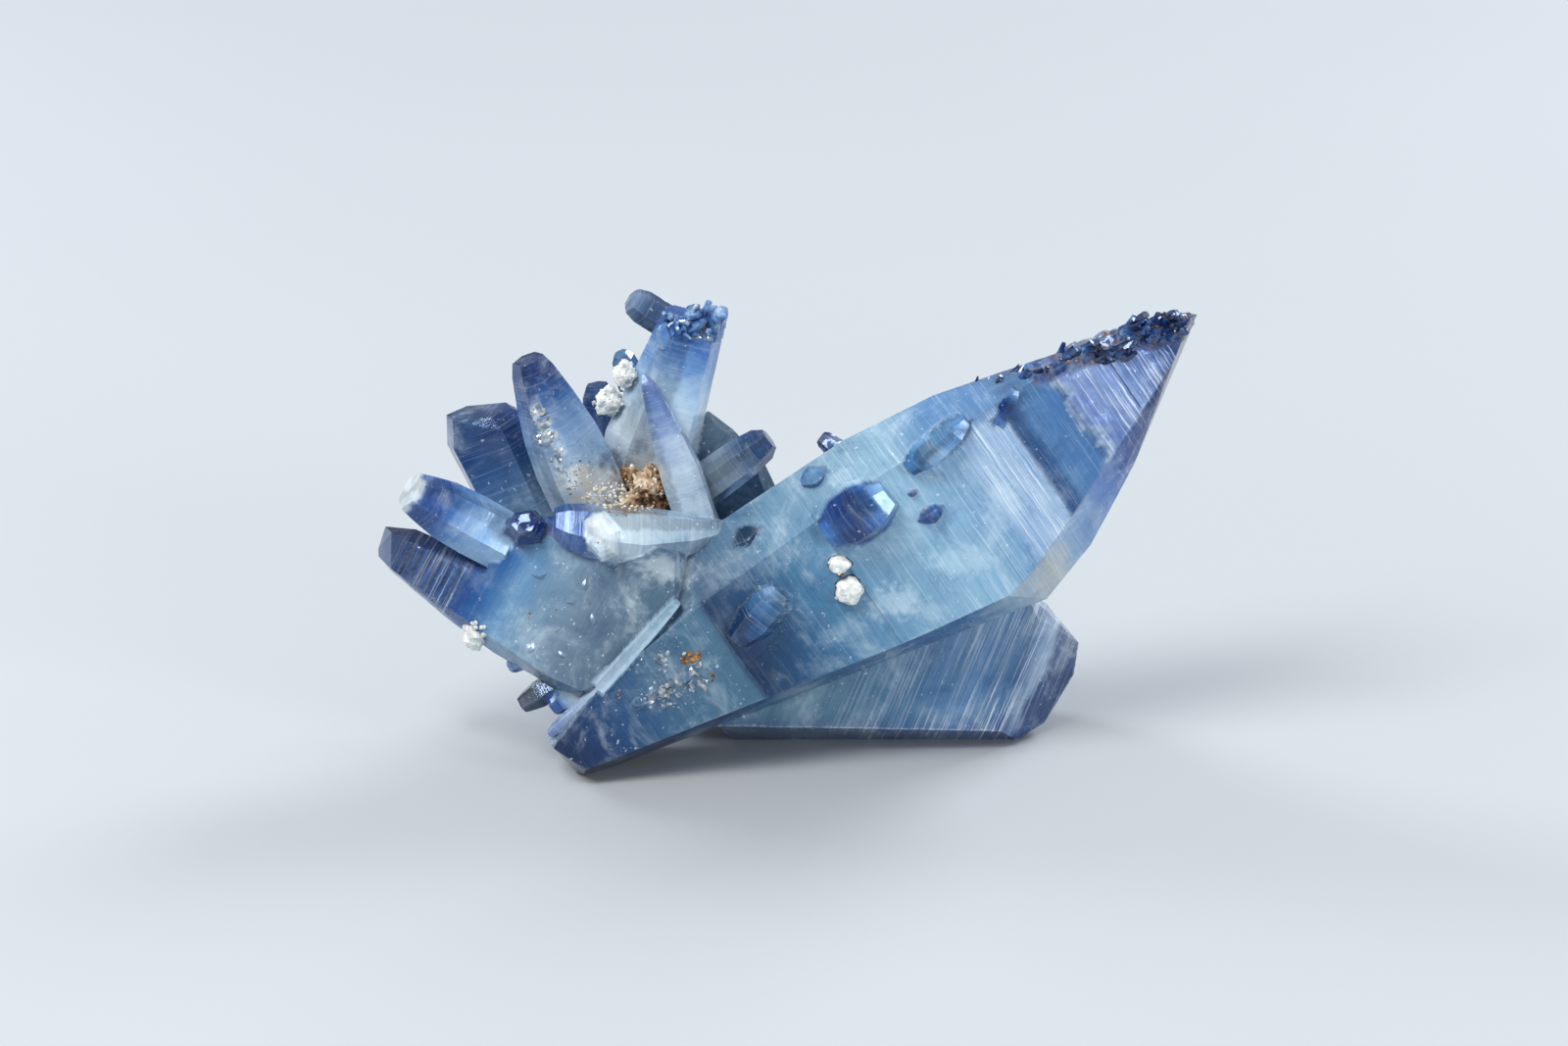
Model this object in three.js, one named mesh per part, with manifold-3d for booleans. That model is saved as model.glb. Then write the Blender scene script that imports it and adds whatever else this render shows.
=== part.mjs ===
// A cluster of blue sapphire crystals: one big flattened spindle leaning up to the right, a stout striated
// crystal lying under it, and a fan of smaller six-sided crystals round a stained hollow on the left.
// Millimetres, +Z up. The cluster rests on the big crystal's lower end, the underside of the lying crystal
// and the foot of a crystal at the back. The grown-together sapphire is one solid. The crust in the hollow
// and the white grains are other minerals, each a solid of its own with a hairline gap to the sapphire.
import * as THREE from "three";
import { ConvexGeometry } from "three/addons/geometries/ConvexGeometry.js";
import { mergeVertices } from "three/addons/utils/BufferGeometryUtils.js";
import Module from "manifold-3d";

const wasm = await Module();
wasm.setup();

// Driving sizes. SEEN_FROM is how far above the horizon the cluster is looked at, in degrees.
const SEEN_FROM = 20;
const SEAT_GAP = 0.3;
const BLADE_HALF_THICKNESS = 5.2;
const FLOOR = 0;
// LEAN moves every point back by this share of its height, so the cluster stands safely on its three places.
const LEAN = 0.15;

const tilt = THREE.MathUtils.degToRad(SEEN_FROM);
const toViewer = new THREE.Vector3(0, -Math.cos(tilt), Math.sin(tilt));

// A point by its place across and up as seen from the front, and its depth y. Height follows from the two.
const at = (x, seen, y) => new THREE.Vector3(x, y, (seen - y * Math.sin(tilt)) / Math.cos(tilt));

// Numbers from 0 to 1 that scatter but are the same on every run.
function scatter(seed) {
  let state = seed;
  return () => {
    state = (state * 16807) % 2147483647;
    return state / 2147483647;
  };
}

// A three.js geometry as a manifold-3d solid.
function solidOf(geometry) {
  const bare = geometry.clone();
  bare.deleteAttribute("normal");
  bare.deleteAttribute("uv");
  const merged = mergeVertices(bare, 1e-3);
  return new wasm.Manifold(
    new wasm.Mesh({
      numProp: 3,
      vertProperties: merged.attributes.position.array,
      triVerts: new Uint32Array(merged.index.array),
    }),
  );
}

// Leans a solid back. Points on the floor stay, and each other point moves along the line of sight, so that
// the cluster looks the same from the front.
const leaned = (solid) => solid.transform([1, 0, 0, 0, 0, 1, 0, 0, 0, LEAN, 1 - LEAN * Math.tan(tilt), 0, 0, 0, 0, 1]);

// A manifold-3d solid as a named three.js mesh.
function meshOf(name, solid, material) {
  const { vertProperties, triVerts } = leaned(solid).getMesh();
  const geometry = new THREE.BufferGeometry();
  geometry.setAttribute("position", new THREE.BufferAttribute(new Float32Array(vertProperties), 3));
  geometry.setIndex(new THREE.BufferAttribute(new Uint32Array(triVerts), 1));
  geometry.computeVertexNormals();
  const mesh = new THREE.Mesh(geometry, material);
  mesh.name = name;
  return mesh;
}

const hull = (points) => solidOf(new ConvexGeometry(points));
const joined = (solids) => solids.reduce((sum, solid) => sum.add(solid));
const largest = (solid) => solid.decompose().reduce((a, b) => (a.volume() > b.volume() ? a : b));

// Outlines along a crystal's axis, as [share of length, share of width].
const SPINDLE = [[0, 0.7], [0.3, 0.95], [0.55, 1], [0.8, 0.8], [0.95, 0.55], [1, 0.4]];
const BARREL = [[0, 0.85], [0.35, 1], [0.75, 0.93], [0.93, 0.72], [1, 0.6]];
const CLAW = [[0, 1], [0.35, 0.95], [0.65, 0.72], [0.9, 0.34], [1, 0.08]];
const STUB = [[0, 1], [0.7, 0.95], [0.92, 0.75], [1, 0.55]];
const DOUBLE = [[0, 0.25], [0.28, 0.8], [0.5, 1], [0.72, 0.8], [1, 0.25]];

// A six-sided crystal as a convex solid. face is the share of the width that its front face takes, spin turns
// it about its axis in degrees, bow bends it sideways, slant tips its end, and grow thickens it all round.
function crystal({ foot, tip, wide, thick = wide * 0.85, face = 0.5, spin = 0, bow = 0, slant = 0, profile = BARREL }, grow = 0) {
  const axis = tip.clone().sub(foot).normalize();
  const start = foot.clone().addScaledVector(axis, -grow);
  const length = tip.distanceTo(foot) + 2 * grow;
  const side = toViewer.clone().cross(axis);
  if (side.length() < 0.3) side.set(1, 0, 0).addScaledVector(axis, -axis.x);
  side.normalize().applyAxisAngle(axis, THREE.MathUtils.degToRad(spin));
  const out = axis.clone().cross(side);
  const corners = [[1, 0], [face, 1], [-face, 1], [-1, 0], [-face, -1], [face, -1]];
  const points = profile.flatMap(([t, share]) =>
    corners.map(([a, b]) => {
      const across = a * (share * wide * 0.5 + grow);
      const along = length * t + (t === 1 ? slant * across : 0);
      return start
        .clone()
        .addScaledVector(axis, along)
        .addScaledVector(side, across + bow * 4 * t * (1 - t))
        .addScaledVector(out, b * (share * thick * 0.5 + grow));
    }),
  );
  return hull(points);
}

// The big flattened crystal. Its front face is one plane, which the small crystals and ledges stand on.
const bladeFront = (x, seen) => -9 + 0.12 * x - 0.2 * seen;
const onBlade = (x, seen, behind = 0) => at(x, seen, bladeFront(x, seen) + behind);
const bladeFace = [
  [-18.7, -0.3], [-14.3, 5.2], [-7.5, 10.9], [7.4, 21.6], [18.6, 28.6], [23.2, 31.2], [32.6, 34.4],
  [31.4, 31.2], [26.1, 24.2], [23.4, 18.8], [20.2, 14.2], [18.2, 12.1], [9.6, 8.2], [-8, 1.2], [-16.2, -2.1],
];
const bladeGirdle = [
  [-19.4, 0.4], [-9.3, 15.4], [-3, 19.5], [4.8, 24.7], [12, 28.3], [18.4, 30.5], [31.6, 35], [33.3, 34.8],
  [31.8, 31.1], [28.4, 22.7], [25, 16.2], [21.5, 11.8], [9.6, 7.2], [-8, 0.6], [-16.5, -2.9], [-19, -0.2],
];

// Half the big crystal's thickness at a place along it, thin at both ends.
function bladeHalf(x) {
  const middle = 1 - Math.abs(x - 4) / 34;
  return BLADE_HALF_THICKNESS * Math.min(1, 0.3 + 1.3 * middle);
}

function blade() {
  const points = bladeFace.flatMap(([x, seen]) => [
    onBlade(x, seen),
    onBlade(x, seen + 0.6, 2 * bladeHalf(x)),
  ]);
  return hull(points.concat(bladeGirdle.map(([x, seen]) => onBlade(x, seen, bladeHalf(x)))));
}

// Ledges across the big crystal's front face, square to its length. Each rises from nothing to its height
// and drops, so neighbours catch the light differently. run is measured from the lower end along the length.
const LONG = new THREE.Vector2(50.6, 35.6).normalize();
const ACROSS = new THREE.Vector2(-LONG.y, LONG.x);
const LOWER_END = new THREE.Vector2(-17.4, -0.9);
const ledges = [
  { from: 9.5, to: 15.9, height: 0.35 },
  { from: 33, to: 27.4, height: 0.25 },
  { from: 37.6, to: 44.5, height: 0.55 },
  { from: 56.6, to: 49.6, height: 0.6 },
  { from: 60.5, to: 54, height: 0.65 },
];

const ledgesBehind = [
  { from: 16, to: 20.5, height: 0.5 },
  { from: 33.5, to: 28, height: 0.45 },
  { from: 35, to: 41.5, height: 0.6 },
];

// behind is where the face lies and outward is 1 on the back face and -1 on the front one.
function ledge({ from, to, height }, behind, outward) {
  const place = (run, across, rise) => {
    const x = LOWER_END.x + LONG.x * run + ACROSS.x * across;
    const seen = LOWER_END.y + LONG.y * run + ACROSS.y * across;
    return onBlade(x, seen, behind + outward * rise);
  };
  return hull([-12, 12].flatMap((across) => [
    place(from, across, 0.02), place(to, across, height), place(from, across, -0.6), place(to, across, -0.6),
  ]));
}

function ledgesOnBlade() {
  const room = (near, far) => hull(bladeFace.flatMap(([x, seen]) => [onBlade(x, seen, near), onBlade(x, seen, far)]));
  const back = 2 * BLADE_HALF_THICKNESS;
  const front = joined(ledges.map((one) => ledge(one, 0, -1))).intersect(room(0.6, -1));
  const behind = joined(ledgesBehind.map((one) => ledge(one, back, 1))).intersect(room(back - 0.6, back + 1));
  return front.add(behind);
}

// Small crystals grown on the big crystal's front face and half sunk in it.
const onFace = (a, b, wide, options = {}) => ({
  foot: onBlade(a[0], a[1], 0.2),
  tip: onBlade(b[0], b[1], 0.1),
  wide,
  profile: DOUBLE,
  spin: 30,
  ...options,
});
const faceCrystals = [
  onFace([3.4, 17.2], [8.4, 20.6], 5.4, { thick: 4.4, spin: 22,
    profile: [[0, 0.55], [0.3, 0.95], [0.6, 1], [0.85, 0.82], [1, 0.58]] }),
  onFace([10, 22.5], [14.6, 26.5], 2.9, { thick: 2.8, profile: [[0, 0.6], [0.3, 1], [0.8, 0.9], [1, 0.5]] }),
  onFace([-3.8, 8.7], [-0.2, 12.7], 4, { thick: 3.4, spin: 12, profile: [[0, 0.6], [0.4, 1], [0.85, 0.9], [1, 0.6]] }),
  { foot: at(1.4, 21.2, -9.7), tip: at(3.4, 22.2, -9.4), wide: 2, thick: 1.8, profile: DOUBLE },
  onFace([10.8, 18.2], [12.9, 19.5], 2, { thick: 2 }),
  onFace([9.9, 20.3], [10.8, 20.8], 0.9, { thick: 1 }),
  onFace([17.1, 26.3], [18.6, 28.8], 1.3, { thick: 1.6, profile: STUB }),
];

const backCrystals = [
  { foot: onBlade(6.4, 15.2, 10.2), tip: onBlade(11, 19.6, 10.4), wide: 4.4, thick: 3.6, spin: 20, profile: DOUBLE },
  { foot: onBlade(13.6, 22.4, 10.3), tip: onBlade(16.2, 23.4, 10.3), wide: 2.6, thick: 2.4, spin: 40, profile: DOUBLE },
  { foot: onBlade(14.6, 16.2, 10.2), tip: onBlade(18.8, 16.8, 10.2), wide: 2.2, thick: 2.6, spin: 5, profile: BARREL },
  { foot: onBlade(20.6, 25.4, 9.6), tip: onBlade(22.2, 28.4, 9.8), wide: 2, thick: 2, spin: 12, profile: STUB },
  { foot: at(9.6, 8.4, 8.6), tip: at(12.4, 11, 8.7), wide: 2.4, thick: 2, spin: 30, profile: DOUBLE },
];

// The stout crystal that lies under the big one, with its striated front face and its flat end on the right.
const lyingFront = (x) => -4.9 + 0.12 * x;
function lyingCrystal() {
  const front = [[-5.4, 1.4], [17.8, 0.9], [20.9, 10.2], [19.6, 12.6], [8, 13.4], [-3.2, 9.5]];
  const right = [[19.2, 0.1, 0.4], [21.6, 1.5, 1.6], [24, 5.5, 2.6], [24.4, 8.1, 2.9], [21.6, 11.4, 2.4]];
  const under = [[-4.2, 0.1, 0.4], [-3.6, 1, 3], [17.5, 0.9, 2.8]];
  const back = [[-4, 5.4, 8.4], [8, 3.2, 8.9], [19, 4.2, 8.3], [22.4, 7.2, 6.6], [19, 12.8, 8], [4, 13.8, 8.6]];
  return hull([
    ...front.map(([x, seen]) => at(x, seen, lyingFront(x))),
    ...[...right, ...under, ...back].map(([x, seen, y]) => at(x, seen, y)),
  ]);
}

// The broad crystal at the lower left and the block above it that the fan grows from share one front plane.
const massFront = (x, seen) => -14.3 - 0.194 * x + 0.071 * seen;
const onMass = (x, seen, behind = 0) => at(x, seen, massFront(x, seen) + behind);
const broadFace = [[-31.9, 17.2], [-24.4, 13.6], [-13, 8.3], [-14, 5.2], [-16.4, 4.4], [-19.2, 5.6], [-24.3, 9.8], [-32, 14.3]];
const broadSide = [[-33.1, 15.9], [-32.5, 17.7], [-30, 17.5], [-24.6, 15], [-13, 9.6], [-14.6, 4.2], [-18, 4.2],
  [-23.6, 7.4], [-27.8, 10.5], [-32, 14], [-33.1, 15.3]];
const blockFace = [[-24.3, 13.7], [-23.2, 17], [-22.4, 18.4], [-18, 18.6], [-8.8, 15.6], [-8.9, 11.6], [-14, 5.6], [-20, 8]];
const blockBack = [[-21.4, 9], [-23, 16.4], [-18, 18.8], [-8, 17], [-4, 15], [-5, 8], [-12, 5.2], [-15, 5.4]];

function broadCrystal() {
  return hull([
    ...broadFace.map(([x, seen]) => onMass(x, seen)),
    ...broadSide.map(([x, seen]) => onMass(x, seen, 1.9)),
    ...broadSide.map(([x, seen]) => onMass(x + 0.3, seen * 0.92 + 1.1, 4.4)),
  ]);
}

function block() {
  return hull([
    ...blockFace.map(([x, seen]) => onMass(x, seen)),
    ...blockBack.map(([x, seen]) => at(x, seen, 0.5)),
  ]);
}

const core = [
  [-15.6, 17, -6], [-6.4, 18.6, -5.6], [-3, 17.2, -3.4], [-5, 8, -4], [-15, 7, -5], [-16.4, 16, 3.4], [-3.4, 17.6, 4],
  [-4, 8, 5], [-14, 8.6, 5], [-10, 20.2, -1], [-9, 4.6, 2],
];

// The fan of crystals, by where each starts and ends as seen from the front. The last ones are behind.
const fan = {
  barrel: { foot: at(-23, 16.6, -6.8), tip: at(-30.3, 20.6, -8.8), wide: 5.1, thick: 4.6, spin: 10,
    profile: [[0, 0.98], [0.3, 1], [0.62, 0.95], [0.85, 0.78], [1, 0.64]] },
  smoky: { foot: at(-19.9, 16.5, -3), tip: at(-24.9, 27.1, -1.8), wide: 7.8, thick: 5, face: 0.6, spin: -24, slant: 0.25,
    profile: [[0, 0.85], [0.5, 0.95], [0.86, 1], [1, 0.72]] },
  tall: { foot: at(-15, 17.9, -5.4), tip: at(-20.8, 31.3, -6.2), wide: 6.6, thick: 5.2, face: 0.42, spin: -12,
    profile: [[0, 0.95], [0.35, 1], [0.55, 0.93], [0.76, 0.74], [0.93, 0.54], [1, 0.4]] },
  tower: { foot: at(-12.9, 19.2, -0.8), tip: at(-7.3, 34.8, -0.6), wide: 7.8, thick: 5.4, face: 0.58, spin: 16,
    profile: [[0, 0.5], [0.15, 0.85], [0.35, 1], [0.5, 0.95], [0.7, 0.84], [0.9, 0.74], [1, 0.66]] },
  towerArm: { foot: at(-7.6, 33.2, 1), tip: at(-12.6, 36.3, 0.4), wide: 2.9, thick: 2.6, spin: 8,
    profile: [[0, 1], [0.8, 0.98], [0.95, 0.8], [1, 0.55]] },
  claw: { foot: at(-6.6, 16.8, -6.4), tip: at(-11.4, 30.1, -4.6), wide: 4.3, thick: 3.6, face: 0.3, spin: 32, bow: -0.15,
    profile: [[0, 0.95], [0.4, 0.95], [0.6, 0.76], [0.82, 0.5], [0.94, 0.3], [1, 0.07]] },
  shelf: { foot: at(-4.8, 17.5, -7.6), tip: at(-18.6, 18, -9.6), wide: 4.9, thick: 4.4, face: 0.5, spin: 12, bow: 0.8,
    profile: [[0, 0.3], [0.2, 0.7], [0.5, 1], [0.8, 0.92], [0.93, 0.75], [1, 0.5]] },
  shelfCap: { foot: at(-14.4, 17, -8.4), tip: at(-14.8, 16.8, -12.5), wide: 3.2, thick: 3.9, spin: 20, profile: STUB },
  darkKnob: { foot: at(-20.6, 17, -6), tip: at(-21, 18, -10.8), wide: 3.7, thick: 2.7, spin: 8, profile: STUB },
  rightPair: { foot: at(-7.4, 20.4, -1.8), tip: at(-1.2, 24.9, -1.4), wide: 3.8, thick: 3.4, spin: 12,
    profile: [[0, 1], [0.6, 0.95], [0.9, 0.78], [1, 0.5]] },
  behindTall: { foot: at(-13.8, 18.6, 1), tip: at(-15.4, 29.4, 1.6), wide: 3.6, thick: 3, spin: 20,
    profile: [[0, 1], [0.7, 0.95], [0.92, 0.75], [1, 0.5]] },
  behindTower: { foot: at(-10.4, 24.6, 2), tip: at(-13.4, 32, 1.4), wide: 2.6, thick: 2.3, spin: 6,
    profile: [[0, 1], [0.7, 1], [0.93, 0.75], [1, 0.45]] },
  lowStubDark: { foot: at(-16, 6.4, -7), tip: at(-21.4, 3.2, -6.8), wide: 2.5, thick: 2.2, spin: 18 },
  lowStubPale: { foot: at(-14.6, 6, -8), tip: at(-18.9, 3, -8), wide: 2.6, thick: 2.2, spin: -12 },
  lowStubSmall: { foot: at(-20, 7.8, -7), tip: at(-22.4, 6.2, -7), wide: 1.7, profile: STUB },
  bar: { foot: at(-14.9, 4.7, -11.1), tip: at(-8.6, 11.6, -11.9), wide: 1.15, thick: 1.5, face: 0.6, spin: 15, profile: STUB },
  barLower: { foot: at(-14.6, 4.6, -10.6), tip: at(-19, 0.9, -9.2), wide: 1.3, thick: 1.5, face: 0.6, spin: -10, profile: STUB },
  backFoot: { foot: at(-9, 12, 1), tip: at(-10.5, 2.6, 8.8), wide: 6.6, thick: 5.6, spin: 10,
    profile: [[0, 1], [0.5, 0.95], [0.8, 0.8], [1, 0.6]] },
  backLeft: { foot: at(-12, 13, 2), tip: at(-22.6, 20, 8.4), wide: 5, thick: 4.4, spin: 24, profile: SPINDLE },
  backLow: { foot: at(-11, 10, 2), tip: at(-21, 8.6, 9), wide: 4, thick: 3.4, spin: 5, profile: BARREL },
  backUp: { foot: at(-9, 16, 2), tip: at(-10.4, 27, 10.6), wide: 5.8, thick: 5, spin: 40, profile: SPINDLE },
  backRight: { foot: at(-5, 13, 2), tip: at(2.6, 20.4, 9.8), wide: 4.8, thick: 4.2, spin: -18, profile: SPINDLE },
  backStub: { foot: at(-6, 11, 4), tip: at(-2, 11.4, 11), wide: 3.2, thick: 2.8, spin: 12, profile: BARREL },
  edgePeep: { foot: at(6.4, 22.4, -5), tip: at(3, 25, -3.6), wide: 1.9, profile: STUB },
};

// The pale broad crystal behind, on the right of the fan, given by its outline as seen from the front.
function panel() {
  const outline = [[-6.2, 27.2], [-4.2, 25.7], [-1.6, 22.9], [-0.4, 20.4], [-1, 16], [-6, 14], [-8.5, 18], [-8.5, 26]];
  return hull(outline.flatMap(([x, seen]) => [
    at(x, seen, 1.6),
    at(-4.6 + (x + 4.6) * 0.74, 20.6 + (seen - 20.6) * 0.86, -0.4),
    at(-4.6 + (x + 4.6) * 0.74, 20.6 + (seen - 20.6) * 0.86, 4),
  ]));
}

// A ragged crust of small broken crystals along a line, for the etched ends. Each block is a short crystal
// that points along lean, more or less, and sizes fall off a little towards the end of the line.
function ragged({ from, to, count, size, lean, spread, seed }) {
  const random = scatter(seed);
  return Array.from({ length: count }, (_, i) => {
    const middle = from.clone().lerp(to, (i + 0.5 * random()) / count);
    const way = lean.clone().add(new THREE.Vector3(random() - 0.5, random() - 0.5, random() - 0.5).multiplyScalar(spread));
    const long = size * (0.7 + 0.6 * random());
    way.normalize();
    return crystal({
      foot: middle.clone().addScaledVector(way, -long * 0.5),
      tip: middle.clone().addScaledVector(way, long * 0.6),
      wide: size * (0.55 + 0.4 * random()),
      face: 0.35 + 0.3 * random(),
      spin: 60 * random(),
      slant: random() - 0.5,
      profile: STUB,
    });
  });
}

const bladeWay = new THREE.Vector3(50.6, -2, 34.8).normalize();
const towerWay = new THREE.Vector3(0.33, -0.1, 0.93).normalize();
const raggedEnds = [
  { from: onBlade(20.6, 30.4, 1.4), to: onBlade(29.4, 33.5, 0.4), count: 9, size: 1.9, seed: 11, spread: 0.7, lean: bladeWay },
  { from: onBlade(23, 31.9, 3), to: onBlade(31.2, 34.4, 1.2), count: 8, size: 1.7, seed: 23, spread: 0.6, lean: bladeWay },
  { from: onBlade(26.8, 32.2, -0.1), to: onBlade(31, 33.2, 0.1), count: 5, size: 1.3, seed: 71, spread: 0.8, lean: bladeWay },
  { from: onBlade(30.8, 34.5, 0.9), to: onBlade(32.4, 33.9, 1.9), count: 4, size: 1.5, seed: 5, spread: 0.4, lean: bladeWay },
  { from: at(-9.7, 33.2, -2.4), to: at(-7.2, 35, -2), count: 5, size: 1.7, seed: 31, spread: 1, lean: towerWay },
  { from: at(-7.2, 34.2, -2), to: at(-5, 34.2, -1.4), count: 4, size: 2.1, seed: 47, spread: 0.9, lean: towerWay },
  { from: at(-9.2, 34.2, 0.4), to: at(-5, 34.8, 0.8), count: 4, size: 2, seed: 53, spread: 0.9, lean: towerWay },
];

// Shallow growth bumps scattered over a patch of a face, like the glassy ones on the mass and the sparkling
// patch on the big crystal.
function bumps({ places, size, seed }) {
  const random = scatter(seed);
  return places.map((place) => {
    const long = size * (0.6 + 0.8 * random());
    const turn = Math.PI * random();
    const half = new THREE.Vector3(Math.cos(turn), 0, Math.sin(turn)).multiplyScalar(long * 0.6);
    return crystal({
      foot: place.clone().sub(half),
      tip: place.clone().add(half),
      wide: long,
      thick: long * 0.7,
      spin: 60 * random(),
      profile: DOUBLE,
    });
  });
}

const bumpPatches = [
  { size: 1.2, seed: 3, places: [[-11.6, 6.2], [-10.6, 4.4], [-9.7, 6.6], [-8.2, 5.6], [-7.3, 6.9], [-11.8, 3.5], [-9.8, 3.2], [-6.6, 5.3]]
    .map(([x, seen]) => onBlade(x, seen, 0.15)) },
  { size: 0.9, seed: 9, places: [[-18.4, 9.4], [-18, 7.4], [-17.2, 11.8], [-16.1, 13], [-20.6, 7.9], [-19.8, 14], [-15.4, 10.2]]
    .map(([x, seen]) => onMass(x, seen, 0.05)) },
];

// Lumps of other minerals: balls pushed in and out along their radius by a few waves.
function lump({ middle, size, stretch = [1, 1, 1], rough = 0.12, waves = 3.1, detail = 2 }, grow = 0) {
  const geometry = new THREE.IcosahedronGeometry(1, detail);
  const place = geometry.attributes.position;
  const point = new THREE.Vector3();
  for (let i = 0; i < place.count; i += 1) {
    point.fromBufferAttribute(place, i).normalize();
    const { x, y, z } = point;
    const wave = Math.sin(waves * x + 1.3) * Math.cos(waves * 1.3 * y) + Math.sin(waves * 1.7 * z + 2 * x);
    point.multiplyScalar(size * (1 + rough * wave) + grow);
    place.setXYZ(i, point.x * stretch[0] + middle.x, point.y * stretch[1] + middle.y, point.z * stretch[2] + middle.z);
  }
  return solidOf(geometry);
}

const crust = [
  { middle: at(-12.9, 19.7, -4.6), size: 2.6, stretch: [1.25, 0.9, 1], rough: 0.12, waves: 4.2, detail: 4 },
  { middle: at(-10.9, 20.8, -5.4), size: 1.7, stretch: [0.9, 0.9, 1.1], rough: 0.14, waves: 5, detail: 3 },
  { middle: at(-15.2, 20.8, -3.4), size: 1.6, rough: 0.14, waves: 4.6, detail: 3 },
];
const grains = {
  white_grain_on_face_upper: { middle: onBlade(4.5, 14.7, -0.2), size: 0.72, stretch: [1.1, 0.8, 0.8] },
  white_grain_on_face_lower: { middle: onBlade(5.3, 12.6, -0.2), size: 0.98, stretch: [1.05, 0.75, 1.05], waves: 3.6 },
  white_grain_at_left: { middle: at(-25.2, 9, -7.6), size: 0.98, stretch: [0.85, 0.9, 1.1], waves: 3.4 },
  white_grain_by_tower_upper: { middle: at(-13, 30.1, -1.7), size: 0.92, stretch: [0.8, 0.9, 1.1], rough: 0.16, waves: 4.4 },
  white_grain_by_tower_lower: { middle: at(-14.3, 27.9, -1.7), size: 1.02, stretch: [0.9, 0.9, 1], rough: 0.16, waves: 4.1 },
};

// Everything that is sapphire, thickened by grow where it is used to seat the other minerals.
function sapphire(grow) {
  return joined([
    blade(),
    lyingCrystal(),
    broadCrystal(),
    block(),
    panel(),
    hull(core.map((place) => at(...place))),
    ...Object.values(fan).map((one) => crystal(one, grow)),
    ...faceCrystals.concat(backCrystals).map((one) => crystal(one)),
    ledgesOnBlade(),
    ...raggedEnds.flatMap(ragged),
    ...bumpPatches.flatMap(bumps),
  ]);
}

// A dark pit in the big crystal's upper bevel, taken out of the sapphire.
const pit = crystal({ foot: at(-5.2, 16.1, -10.9), tip: at(-1.9, 17.8, -10.7), wide: 2.2, thick: 2.4, profile: DOUBLE });

const grainSeats = joined(Object.values(grains).map((one) => lump(one, SEAT_GAP)));
const cluster = largest(sapphire(0).subtract(grainSeats).subtract(pit).trimByPlane([0, 0, 1], FLOOR));
const crustSeat = sapphire(SEAT_GAP);
const pocket = largest(joined(crust.map((one) => lump(one))).subtract(crustSeat));

const finishes = {
  sapphire: new THREE.MeshStandardMaterial({ color: 0x8fb2cf, roughness: 0.18, metalness: 0, transparent: true, opacity: 0.75 }),
  crust: new THREE.MeshStandardMaterial({ color: 0xa98d6c, roughness: 0.85, metalness: 0 }),
  grain: new THREE.MeshStandardMaterial({ color: 0xe2e6df, roughness: 0.6, metalness: 0 }),
};

const specimen = new THREE.Group();
specimen.add(meshOf("sapphire_crystals", cluster, finishes.sapphire));
specimen.add(meshOf("crust_in_hollow", pocket, finishes.crust));
for (const [name, one] of Object.entries(grains)) {
  specimen.add(meshOf(name, lump(one), finishes.grain));
}

// The origin is on the floor under the middle of the cluster.
const extent = new THREE.Box3().setFromObject(specimen);
const middle = extent.getCenter(new THREE.Vector3());
specimen.position.set(-middle.x, -middle.y, 0);

export default specimen;
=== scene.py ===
"""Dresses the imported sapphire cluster: milky to clear blue crystal, stained crust and white grains."""

import logging
import math
import random
from collections.abc import Sequence
from dataclasses import dataclass, field, replace
from enum import Enum
from typing import ClassVar

import bmesh
import bpy
import numpy as np
from mathutils import Matrix, Vector, noise
from mathutils.bvhtree import BVHTree


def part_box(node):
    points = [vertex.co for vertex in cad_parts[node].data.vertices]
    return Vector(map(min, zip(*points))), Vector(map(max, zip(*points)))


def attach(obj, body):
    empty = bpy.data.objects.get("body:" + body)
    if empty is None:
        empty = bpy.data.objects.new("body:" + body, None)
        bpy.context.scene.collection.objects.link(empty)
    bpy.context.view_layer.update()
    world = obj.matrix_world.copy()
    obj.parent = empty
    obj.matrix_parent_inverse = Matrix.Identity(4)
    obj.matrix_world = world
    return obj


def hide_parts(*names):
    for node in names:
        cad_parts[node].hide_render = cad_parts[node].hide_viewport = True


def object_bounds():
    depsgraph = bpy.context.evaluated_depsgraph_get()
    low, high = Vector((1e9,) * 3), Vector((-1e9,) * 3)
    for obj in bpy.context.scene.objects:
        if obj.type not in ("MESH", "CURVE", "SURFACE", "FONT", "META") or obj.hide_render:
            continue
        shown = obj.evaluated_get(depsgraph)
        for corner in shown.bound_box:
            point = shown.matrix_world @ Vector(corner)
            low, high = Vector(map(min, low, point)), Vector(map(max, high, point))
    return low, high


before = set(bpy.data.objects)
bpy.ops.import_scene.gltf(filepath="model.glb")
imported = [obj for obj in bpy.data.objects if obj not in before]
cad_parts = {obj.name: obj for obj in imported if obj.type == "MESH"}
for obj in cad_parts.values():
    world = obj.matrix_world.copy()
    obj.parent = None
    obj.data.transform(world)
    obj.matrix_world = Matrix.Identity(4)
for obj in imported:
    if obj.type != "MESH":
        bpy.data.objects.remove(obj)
CAD_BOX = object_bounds()

LOG = logging.getLogger("sapphire")
MM = 0.001
# How far above the horizon the photograph looks from.
SEEN_FROM = math.radians(20)
# How far the cluster leans back for each millimetre up, and how much shorter that makes it.
LEAN = 0.15
SHORTER = 1 - LEAN * math.tan(SEEN_FROM)
# How much longer edges may be on the back, and the angle from which an edge counts as a crystal's edge.
BACK_COARSER = 1.5
SHARP = 0.3
# Sapphire's index of refraction.
INDEX = 1.77
# The big spindle's front face: its depth at the design's origin, and its slopes across and up.
FRONT_DEPTH, FRONT_ACROSS, FRONT_UP = -9, 0.12, -0.2
# The middle of the white grain at the left, in the design.
LEFT_GRAIN = (-25.15, -5.724, 11.6)
Colour = tuple[float, float, float, float]
Place = tuple[float, float, float]


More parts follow.
